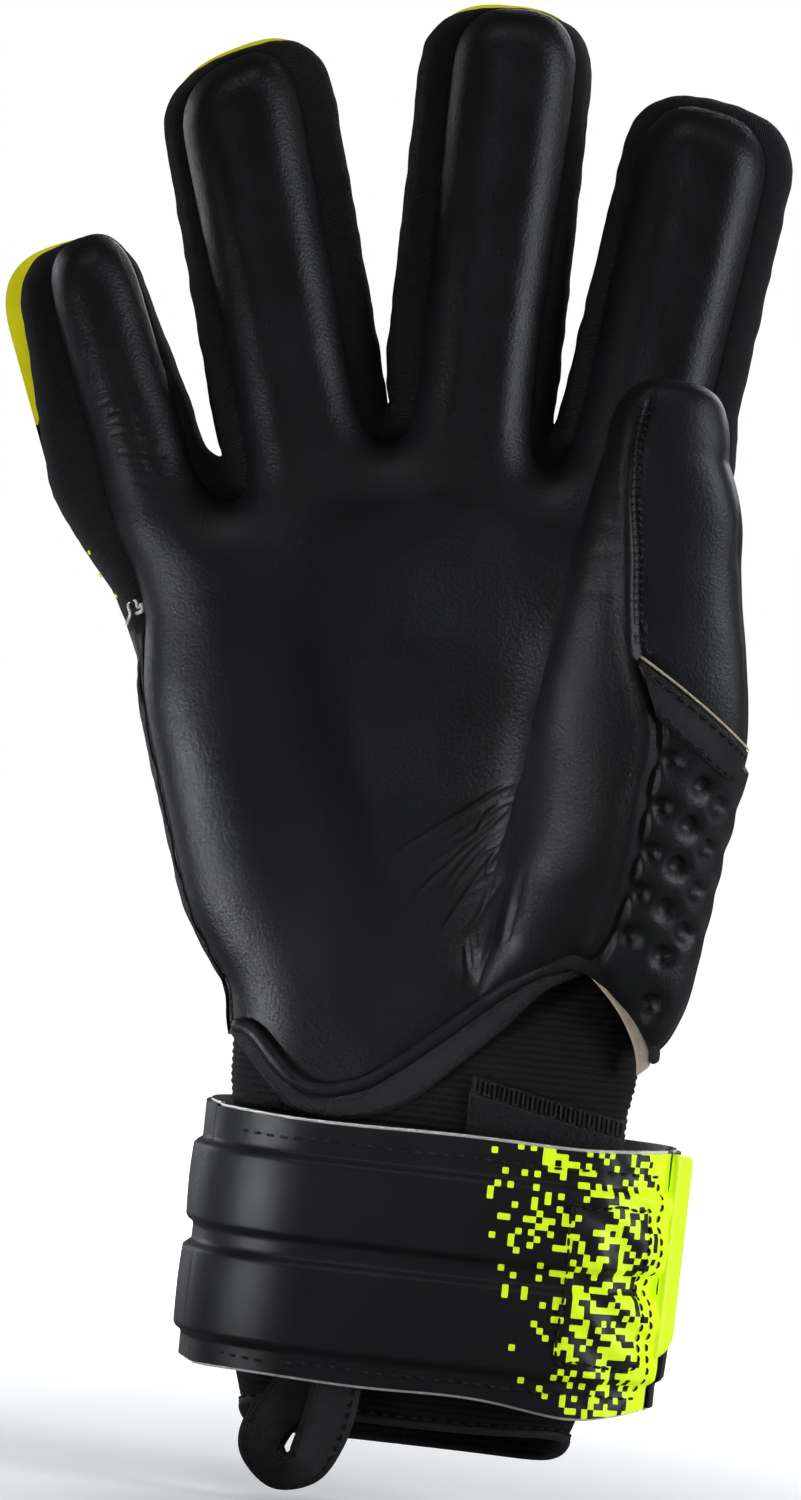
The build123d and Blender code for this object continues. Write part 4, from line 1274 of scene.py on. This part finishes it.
# ---------------------------------------------------------------- wrist: elastic, hem, palm edge, patch
# (z, place) of the wrist's four sides
CUFF_LEFT = [(-4, -31.5), (4, -33.6), (10, -36.2), (20, -38), (50, -39.5), (62, -42), (75, -43.3),
             (84, -43), (94, -41)]
CUFF_RIGHT = [(-4, 29.5), (4, 31), (10, 33), (20, 37), (50, 37.5), (62, 35.6), (75, 36.6), (84, 36.6),
              (94, 34)]
CUFF_FRONT = [(-4, -14.5), (10, -15.2), (50, -15.6), (62, -14.8), (75, -14.2), (94, -12.6)]
CUFF_BACK = [(-4, 14.5), (10, 15.2), (50, 15.4), (62, 13.4), (78, 11.0), (94, 10.6)]


CUFF_SIDES = (CUFF_LEFT, CUFF_RIGHT, CUFF_FRONT, CUFF_BACK)
ROUND_X, ROUND_Y = 0.62, 0.8  # powers that make the ring a rounded box


def cuff_ring(z, count):
    """A rounded-box ring round the wrist at height z, anticlockwise from above, starting at the back."""
    left, right, front, back = (profile(side, z) for side in CUFF_SIDES)
    angle = np.linspace(0, 2 * math.pi, 240, endpoint=False) + math.pi / 2
    x = (left + right) / 2 + (right - left) / 2 * np.sign(np.cos(angle)) * np.abs(np.cos(angle)) ** ROUND_X
    y = (front + back) / 2 + (back - front) / 2 * np.sign(np.sin(angle)) * np.abs(np.sin(angle)) ** ROUND_Y
    ring = np.column_stack([x, y, np.full(len(x), float(z))])
    return resample(np.vstack([ring, ring[:1]]), count + 1)[:-1]


def cuff_front_y(x, z):
    """The front surface of the elastic at (x, z)."""
    left, right, front, back = (profile(side, z) for side in CUFF_SIDES)
    across = np.clip(np.abs((x - (left + right) / 2) / ((right - left) / 2)), 0, 1)
    return (front + back) / 2 - (back - front) / 2 * (1 - across ** (2 / ROUND_X)) ** (ROUND_Y / 2)


def round_sheet(name, rings, thickness, relief):
    """A tube of ribbed cloth from rings of points; relief(points) raises it, and thickness goes inwards."""
    outer = rings.reshape(-1, 3)
    rows, count = rings.shape[:2]
    faces, normals = turned(outer, grid_faces(rows, count, wrap=True), (outer - outer.mean(0)) * [1, 1, 0])
    run = run_length(np.vstack([rings[0], rings[0][:1]]))[:-1]
    uv = np.column_stack([np.tile(run, rows), outer[:, 2]])
    outer = outer + normals * relief(outer)[:, None]
    return closed_sheet(name, outer, outer - normals * thickness, faces, "ribbed_elastic", uvs=uv)


RIB = 1.45  # mm between the elastic's ribs


def elastic_relief(p):
    ribs = 0.14 * np.sin((p[:, 2] + 0.5 * np.sin(p[:, 0] / 9)) * 2 * math.pi / RIB)
    return ribs + 0.3 * ridge_noise(p[:, 0] * 0.35, p[:, 2], 7, 4.0)


def elastic_part(name, low, high, step, node):
    rings = np.array([cuff_ring(z, 300) for z in np.arange(low, high, step)])
    piece = round_sheet(name, rings, ELASTIC, elastic_relief)
    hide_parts(node)
    return piece


ring_step = 0.36
across_wrist(elastic_part("wrist_elastic_skin", 59.5, 94, ring_step, "hand_wrist_elastic"))
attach(elastic_part("cuff_elastic_skin", 12.5, 59.6, ring_step * 1.5, "cuff_elastic"), "cuff")
HEM_TOP, HEM_COUNT = 13.5, 220


def cuff_hem():
    """The folded hem below the strap: its front edge sits higher than its back edge."""
    ring, low = cuff_ring(HEM_TOP, HEM_COUNT), cuff_ring(-2.0, HEM_COUNT)
    front = smooth((-ring[:, 1] / 15 + 1) / 2)
    bottom = -3.4 + 7.8 * front - 1.2 * front * (1 - (ring[:, 0] / 36) ** 2)
    rings = []
    for share in np.linspace(0, 1, 30):
        z = HEM_TOP + (bottom - HEM_TOP) * share
        part = ((HEM_TOP - z) / 15.5)[:, None]
        xy = ring[:, :2] + (low[:, :2] - ring[:, :2]) * np.clip(part, 0, 1)
        rings.append(np.column_stack([xy, z]))
    return np.array(rings)


hem_rings = cuff_hem()
hem = round_sheet("cuff_hem_skin", hem_rings[::-1], 1.6,
                  lambda p: 0.15 * ridge_noise(p[:, 0], p[:, 2], 11, 6.0))
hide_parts("cuff_hem")
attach(hem, "cuff")
edge = np.vstack([hem_rings[-1], hem_rings[-1][:3]])
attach(tube_along("cuff_hem_edge", edge + [0, 0, 0.3], 0.95, "binding_tape", sides=8), "cuff")
above = np.vstack([hem_rings[-5], hem_rings[-5][:1]])
outward = above * [1, 1, 0]
lifted = above + outward / np.linalg.norm(outward, axis=1)[:, None] * 0.2
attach(stitches("cuff_hem_stitch", lifted, outward), "cuff")

# the two edges, as (x, z), of the tape along the palm's V-shaped lower edge
V_IN = curve_through([(-43.2, 76.5), (-39.3, 75.8), (-31.9, 68.6), (-25.6, 66.2), (-19.2, 67.4),
                      (-13.5, 70.6), (-3, 79.4), (7.4, 88.8), (14, 93.6), (21, 96.2)], 110)
V_OUT = curve_through([(-43.6, 74.6), (-40.5, 71.6), (-32.8, 63.8), (-26.5, 60.9), (-17.5, 61.2),
                       (-7.9, 65.3), (1.2, 73.6), (9.5, 82.3), (16.1, 89.8), (23.2, 94)], 110)


def palm_edge_y(xz):
    """How far forward the palm's lower edge sits: round the side at the left, up onto the mound at right."""
    left = FACE_FOOT_Y - PALM_RISE * rolled((xz[:, 0] + 44.5) / 14)
    return left - 2.2 * smooth((xz[:, 0] - 2) / 16)


inner_edge, outer_edge = lift(V_IN, palm_edge_y(V_IN) - 0.3), lift(V_OUT, palm_edge_y(V_OUT) + 0.3)
tape = band("palm_edge_tape", inner_edge, outer_edge, 1.5, "binding_tape", 0.5)
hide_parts("palm_binding")
across_wrist(tape)
piping = lift(V_IN, palm_edge_y(V_IN) - 0.5)
across_wrist(tube_along("palm_edge_piping", piping, 1.55, "palm_latex", sides=12))
for label, part in (("inner", 0.38), ("outer", 0.86)):
    row = inner_edge + (outer_edge - inner_edge) * part - [0, 0.45, 0]
    forward = np.tile([0, -1.0, 0], (len(row), 1))
    across_wrist(stitches("palm_tape_stitch_" + label, row, forward, 1.7, 1.0, 0.28))

pad_rim, liner_edge = (curve_through(points, 60) for points in (
    [(22.5, 96.4), (28, 93.2), (33.2, 89.0), (36.6, 84.2), (38.3, 80.6), (38.4, 77.8)],
    [(22.6, 95.6), (27, 91.8), (31.2, 87.2), (34.2, 82.4), (35.6, 78.4), (36.0, 75.6)]))
rim_y = -16.8 + 3.4 * np.linspace(0, 1, 60)
liner_top, liner_low = lift(pad_rim, rim_y + 0.6), lift(liner_edge, rim_y + 0.9)
liner = band("pad_liner_edge", liner_top, liner_low, 1.8, "cream_foam", 0.8)
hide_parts("pad_liner")
across_wrist(liner)
across_wrist(tube_along("pad_lower_piping", lift(pad_rim + [0.5, 0.5], rim_y - 0.1), 1.15, "binding_tape"))


def on_cuff(x, z, lift_by):
    """Points just in front of the elastic."""
    return np.column_stack([x, cuff_front_y(x, z) - lift_by, z])


PATCH_TOP = np.array([(4.3, 72.2), (36.2, 65.9)])
PATCH_COLUMNS, PATCH_END = 60, 35.2
patch_x = np.linspace(PATCH_TOP[0, 0], PATCH_END, PATCH_COLUMNS)
patch_top = np.interp(patch_x, *PATCH_TOP.T)


def patch(name, low, high, lift_by, slot, node, rows, fuzz):
    """A patch on the elastic between the heights low and high; fuzz roughens its face and edges."""
    heights = [low + (high - low) * s for s in np.linspace(0, 1, rows)]
    outer = np.vstack([on_cuff(patch_x + 0.4 * np.sin(7.0 * z) * fuzz, z, lift_by) for z in heights])
    outer[:, 1] += fuzz * 0.35 * ridge_noise(outer[:, 0], outer[:, 2], 2.3, 9.0)
    faces = facing_front(outer, grid_faces(rows, PATCH_COLUMNS))
    piece = closed_sheet(name, outer, outer + [0, 1.2, 0], faces, slot, uvs=outer[:, [0, 2]])
    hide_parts(node)
    across_wrist(piece)


patch_low = np.full(PATCH_COLUMNS, 15.0)
patch("loop_patch_skin", patch_low, patch_top - 3.4, 1.0, "hook_and_loop", "loop_patch", 60, 1.0)
patch("loop_patch_hem_skin", patch_top - 3.6, patch_top, 0.75, "binding_tape", "loop_patch_hem", 8, 0.0)
rib_path = []  # the hem's thread, up and down across it
for k, x in enumerate(np.arange(5.0, PATCH_END, 0.95)):
    z = float(np.interp(x, *PATCH_TOP.T))
    ends = [(x, z - 3.1), (x, z - 0.4)]
    rib_path += ends if k % 2 else ends[::-1]
hem_thread = resample(on_cuff(*np.array(rib_path).T, 0.95), 700)
across_wrist(tube_along("loop_hem_ribs", hem_thread, 0.26, "binding_tape", "black_thread", sides=5))


# ---------------------------------------------------------------- thread ends at the little finger's root
knot = curve_through([(-73.2, 151.8), (-72.6, 153.8), (-73.2, 155.8), (-72.0, 156.8), (-71.2, 155.5),
                      (-70.5, 156.2), (-70.4, 154.9), (-71.6, 154.2)], 70)
knot_y = np.interp(knot[:, 0], [-75, -70], [-3.4, -6.2])
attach(tube_along("little_thread_end", lift(knot, knot_y), 0.36, "binding_tape", "pale_thread"), "hand")
dashes = curve_through([(-83.2, 167.4), (-80.3, 162.0), (-77.2, 158.7), (-74.3, 155.4)], 30)
dash_normals = np.tile([-0.5, -0.86, 0.0], (30, 1))
dashes = stitches("little_edge_stitch", lift(dashes, -3.1), dash_normals, 0.9, 2.9, 0.3, "neon_fabric")
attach(dashes, "hand")


# ================================================================ wrist strap
# the strap's path: two flat lengths of twice STRAP_FLAT, joined by half circles
STRAP_FLAT, STRAP_RADIUS = 24.5, 24.0
ROUND_HALF = math.pi * STRAP_RADIUS
STRAP_TOTAL = 4 * STRAP_FLAT + 2 * ROUND_HALF
STRAP_LOW, STRAP_HIGH = 10.6, 60.2
FOAM_BEYOND, FOAM_IN, FOAM_DEPTH = 0.55, 1.55, 2.4  # how far the foam shows, how deep it lies, its depth
FRONT_HINGE = -41.26  # where on the path the strap leaves the cuff


def round_wrist(u, out=0.0):
    """(x, y) on the strap's path u mm from the middle of its front, out mm outside it."""
    u = np.mod(np.asarray(u, float) + STRAP_TOTAL / 2, STRAP_TOTAL) - STRAP_TOTAL / 2
    side = np.sign(u) + (u == 0)
    run = np.abs(u)
    angle = np.clip((run - STRAP_FLAT) / STRAP_RADIUS, 0, math.pi)
    past = np.maximum(run - STRAP_FLAT - ROUND_HALF, 0)
    flat = np.where(run < STRAP_FLAT, run, STRAP_FLAT - past)
    x = side * (flat + (STRAP_RADIUS + out) * np.sin(angle))
    y = -(STRAP_RADIUS + out) * np.cos(angle)
    return x, y


def strap_relief(u, z, wrinkles):
    """The strap's face: two padded bands between flat margins, puckered near the free end."""
    padded = smooth((53.8 - z) / 1.4) * smooth((z - 15.2) / 1.4) * smooth((np.abs(z - 35.1) - 1.5) / 1.4)
    d = -1.5 + 1.5 * padded
    for low, height in ((37, 17), (15, 18)):
        d += 0.35 * padded * np.sin(np.clip((z - low) / height, 0, 1) * math.pi)
    if wrinkles:
        near = smooth((u - 22) / 16) * smooth((54 - u) / 6)
        fan = (z - 28) * 0.36 + (u - 46) * 0.22 + 0.9 * np.sin(u / 5.3) + 0.6 * np.sin(z / 4.1)
        d += near * 0.55 * np.sin(fan * 1.5) * smooth((56 - z) / 8) * smooth((z - 12) / 5)
        d += near * 0.45 * ridge_noise(u, z, 8, 13.0)
        d += 0.2 * smooth((u + 20) / 30) * ridge_noise(u, z * 0.5, 16, 3.0)
    else:
        d += 0.12 * ridge_noise(u, z, 30, 3.0)
    return d


def strap_edge(u, share):
    """Height of the strap at a share of its width: its lower edge sags towards the free end."""
    low = STRAP_LOW - 1.7 * bell(u - 30, 14) + 0.25 * np.sin(u / 7)
    high = STRAP_HIGH + 0.7 * smooth((u - 20) / 25) + 0.2 * np.sin(u / 9 + 1)
    return low + (high - low) * share


def wrist_point(us, z, out):
    return np.column_stack([*round_wrist(us, out), z])


def strap_sheet(name, start, end, wrinkles, foam=False, material=None):
    """One length of the strap's face, or of the foam that shows along its edges.

    It is a closed sheet with UVs (distance along, height).
    """
    columns = max(4, int((end - start) / (0.75)))
    rows = 76
    us = np.linspace(start, end, columns)
    outer, inner, uv = [], [], []
    for share in np.arange(rows) / (rows - 1):
        z = strap_edge(us, share) + (FOAM_BEYOND if foam else 0) * (2 * share - 1)
        face = strap_relief(us, z, wrinkles)
        if foam:
            over, under = np.minimum(face, -0.6) * 0.6 - FOAM_IN, -FOAM_IN - FOAM_DEPTH
        else:
            over, under = face, np.minimum(face - 0.9, -1.8)
        outer.append(wrist_point(us, z, over))
        inner.append(wrist_point(us, z, under))
        uv.append(np.column_stack([us, z]))
    outer, inner = np.vstack(outer), np.vstack(inner)
    faces, normals = turned(outer, grid_faces(rows, columns), outer - inner)
    slot = "white_foam" if foam else "strap_latex"
    return closed_sheet(name, outer, inner, faces, slot, None, material, np.vstack(uv), normals)


def open_strap(piece, part):
    """Front and end pieces are only fixed where they are, on no body; the others ride on the cuff."""
    if part == "front":
        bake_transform(piece)
    elif part == "end":
        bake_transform(piece)
    else:
        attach(piece, "cuff")


for part, start, end, foam_end, material in (
        ("back", 55.0, STRAP_TOTAL + FRONT_HINGE - 10, STRAP_TOTAL + FRONT_HINGE - 10, "back_latex"),
        ("front", FRONT_HINGE - 10, -12.0, -12.0, None),
        ("end", -12.0, 51.6, 52.1, None)):
    face = strap_sheet(f"strap_{part}_face", start, end, part != "back", material=material)
    open_strap(face, part)
    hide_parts(f"strap_{part}_latex")
    foam = strap_sheet(f"strap_{part}_padding", start, foam_end, part != "back", foam=True)
    open_strap(foam, part)
    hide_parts(f"strap_{part}_foam")


def strap_stitches(name, us, zs, out, length, gap, part):
    """Stitches along (us, zs) on the strap's front, out mm in front of its face."""
    face = strap_relief(us, zs, True)
    path = wrist_point(us, zs, face + out)
    open_strap(stitches(name, path, wrist_point(us, zs, face + out + 1) - path, length, gap, 0.3), part)


for part, start, end in (("front", -42, -12.4), ("end", -11.6, 47)):
    us = np.linspace(start, end, 120)
    for label, height in (("top", 56.6), ("bottom", 13.2)):
        wave = height + 0.15 * np.sin(us / 4)
        strap_stitches(f"strap_{part}_stitch_{label}", us, wave, 0.12, 1.6, 1.1, part)
side_row = curve_through([(47.0, 55.5), (46.3, 48), (46.9, 40), (46.2, 31), (46.8, 22), (46.2, 14)], 90)
strap_stitches("strap_end_stitch_side", *side_row.T, 0.15, 1.5, 0.7, "end")
box = curve_through([(26, 50.2), (31, 49.5), (36, 50.4), (41, 49.6), (43.4, 49.9), (43.0, 40), (43.6, 31),
                     (43.2, 19.6), (36, 19), (30, 19.8), (26.4, 19.2), (26, 27), (26.6, 36), (26, 44),
                     (26, 50.2)], 200)
strap_stitches("strap_end_stitch_box", *box.T, 0.18, 1.6, 0.5, "end")


def curved_patch(name, u_range, z_low, z_high, out, thickness, slot, bulge=0.0, fuzz=0.0):
    """A patch that follows the strap's path; z_low and z_high give its edges' heights at both ends."""
    count = 40
    us, along = np.linspace(*u_range, count), np.linspace(0, 1, count)
    low, high = (ends[0] + (ends[1] - ends[0]) * along for ends in (z_low, z_high))
    outer, inner = [], []
    for share in np.arange(count) / (count - 1):
        z = low + (high - low) * share
        edge_gap = np.minimum(np.minimum(share, 1 - share) * 12, np.minimum(along, 1 - along) * 12)
        d = bulge * rolled(edge_gap) + fuzz * ridge_noise(us, z, 2.1, 8.0)
        outer.append(wrist_point(us, z, out + d))
        inner.append(wrist_point(us, z, out - thickness))
    outer, inner = np.vstack(outer), np.vstack(inner)
    faces, _ = turned(outer, grid_faces(count, count), outer - inner)
    return closed_sheet(name, outer, inner, faces, slot, uvs=outer[:, [0, 2]])


hooks = curved_patch("hook_patch_skin", (13, 44), (16, 16), (55, 55), -4.2, 1.2, "hook_and_loop", fuzz=0.15)
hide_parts("hook_patch")
open_strap(hooks, "end")
flap = curved_patch("strap_side_flap_skin", (50, 73), (21, 26), (61.2, 59.7), 0.5, 1.1, "neon_fabric",
                    bulge=0.6)
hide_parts("strap_side_flap")
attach(flap, "cuff")
anchor_low, anchor_high = (corner[2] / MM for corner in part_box("strap_anchor"))
anchor_range = (STRAP_TOTAL / 2 - 20, STRAP_TOTAL / 2 + 20)
anchor = curved_patch("strap_anchor_skin", anchor_range, (anchor_low, anchor_low), (anchor_high, anchor_high),
                      -4.6, 3.2, "hook_and_loop", bulge=0.3)
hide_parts("strap_anchor")
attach(anchor, "cuff")


# ---------------------------------------------------------------- pull loop
def pull_loop():
    """A folded webbing loop: one strand down, round the bottom with a twist, and up over the other.

    Gives its two edges and the direction across it.
    """
    count = 120
    centre = curve_through([(-18.5, 12.5), (-22.8, 7.0), (-27.4, 1.0), (-28.6, -4.0), (-24.8, -8.4),
                            (-19.6, -6.6), (-17.2, -1.0), (-15.8, 5), (-15.2, 12.5)], count)
    run = np.linspace(0, 1, count)
    tangent = np.gradient(centre, axis=0)
    tangent /= np.linalg.norm(tangent, axis=1)[:, None]
    twist = math.radians(30) * bell(run - 0.52, 0.2)
    wide = np.column_stack([tangent[:, 1] * np.cos(twist), np.sin(twist), -tangent[:, 0] * np.cos(twist)])
    y = -18.4 - 2.6 * smooth((run - 0.35) / 0.4)
    middle = np.column_stack([centre[:, 0], y, centre[:, 1]])
    half = wide * (4.9 - 0.9 * bell(run - 0.52, 0.14))[:, None]
    return middle + half, middle - half, wide


first, second, wide = pull_loop()
loop = band("pull_loop_webbing", first, second, 1.3, "binding_tape", 0.35, rows=9)
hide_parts("pull_loop")
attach(loop, "pull_loop")
for label, part in (("left", 0.12), ("right", 0.88)):
    edge = first + (second - first) * part
    normal = np.cross(np.gradient(edge, axis=0), wide)
    normal *= np.sign(-normal[:, 1:2])
    normal /= np.linalg.norm(normal, axis=1)[:, None]
    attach(stitches("pull_loop_stitch_" + label, edge + normal * 0.4, normal, 1.4, 0.8, 0.25), "pull_loop")


# ================================================================ floor, light and camera
def floor():
    """A wide pale floor that fades into the white background away from the glove."""
    low, reach = CAD_BOX[0].z / MM - 1.5, 9000.0
    verts = [(-reach, -reach, low), (reach, -reach, low), (reach, reach, low), (-reach, reach, low)]
    s = Shader("paper")
    rest = s.attribute("rest")
    grain = s.noise(rest, 0.4, 3.0)
    tone = s.mix(s.span(grain, 0.3, 0.7), (0.88, 0.88, 0.88), (0.92, 0.92, 0.92))
    distance = s.node("ShaderNodeVectorMath", {0: rest}, operation="LENGTH").outputs["Value"]
    seen = s.node("ShaderNodeLightPath").outputs["Is Camera Ray"]
    glow = s.math("MULTIPLY", s.span(distance, 60, 420, 0.25, 1.0), seen)
    tone = s.mix(seen, (0.3, 0.3, 0.3), tone)
    MATERIALS["paper"] = s.finish(Base_Color=tone, Roughness=0.9, Emission_Color=(1, 1, 1),
                                  Emission_Strength=glow)
    make_object("paper_floor", np.array(verts), [(0, 1, 2, 3)], "paper")


def lamp(name, place, size, watts, aim=(-0.015, 0, 0.13), spread=180):
    """A soft box at a place in metres, aimed at the glove; spread is its beam's width in degrees."""
    light = bpy.data.lights.new(name, "AREA")
    light.shape = "RECTANGLE"
    light.size, light.size_y = size
    light.energy = watts
    light.spread = math.radians(spread)
    light.color = (0.93, 0.95, 1.0)
    obj = bpy.data.objects.new(name, light)
    bpy.context.scene.collection.objects.link(obj)
    obj.location = place
    obj.rotation_euler = (Vector(aim) - Vector(place)).to_track_quat("-Z", "Y").to_euler()
    obj.visible_camera = False


def studio():
    """The floor, the soft boxes, and a world that looks white but lights only a little."""
    floor()
    lamp("low_left_box", (-0.27, -0.19, 0.0), (0.12, 0.12), 0.15, (-0.065, 0, 0.08), 46)
    lamp("left_box", (-0.95, -0.30, 0.2), (0.3, 0.5), 0.25)
    lamp("right_box", (0.9, -0.34, 0.2), (0.4, 0.7), 8.5)
    lamp("top_box", (-0.25, -0.6, 0.95), (0.5, 0.3), 1.5)
    lamp("front_box", (-0.6, -1.2, 0.5), (0.4, 0.4), 0.1)
    lamp("back_box", (0.3, 0.9, 0.6), (0.7, 0.5), 5.0)
    lamp("back_left_box", (-0.8, 0.7, 0.2), (0.3, 0.6), 3.0)
    world = bpy.data.worlds.new("studio")
    world.use_nodes = True
    bpy.context.scene.world = world
    tree = world.node_tree
    rays = tree.nodes.new("ShaderNodeLightPath")
    strength = tree.nodes.new("ShaderNodeMapRange")
    strength.inputs["To Min"].default_value = 0.07
    strength.inputs["To Max"].default_value = 1.0
    tree.links.new(rays.outputs["Is Camera Ray"], strength.inputs["Value"])
    tree.nodes["Background"].inputs["Color"].default_value = (1, 1, 1, 1)
    tree.links.new(strength.outputs[0], tree.nodes["Background"].inputs["Strength"])
    bpy.context.scene.view_settings.view_transform = "Standard"


FRAME_HEIGHT = 292.0  # mm of the glove's plane that the picture's 1500 rows hold
LENS, SENSOR = 150.0, 36.0
GLOVE_LEAN = math.radians(6.5)  # how far the glove leans clockwise in the picture
PICTURE_CENTRE = (-16.9, -15.0, 133.5)

studio()
camera = bpy.data.objects.new("camera", bpy.data.cameras.new("camera"))
bpy.context.scene.collection.objects.link(camera)
bpy.context.scene.camera = camera
camera.data.lens = LENS
camera.data.sensor_width = SENSOR
x, y, z = PICTURE_CENTRE
camera.location = point(x, y - FRAME_HEIGHT * LENS / SENSOR, z)
camera.rotation_euler = (math.pi / 2, -GLOVE_LEAN, 0)
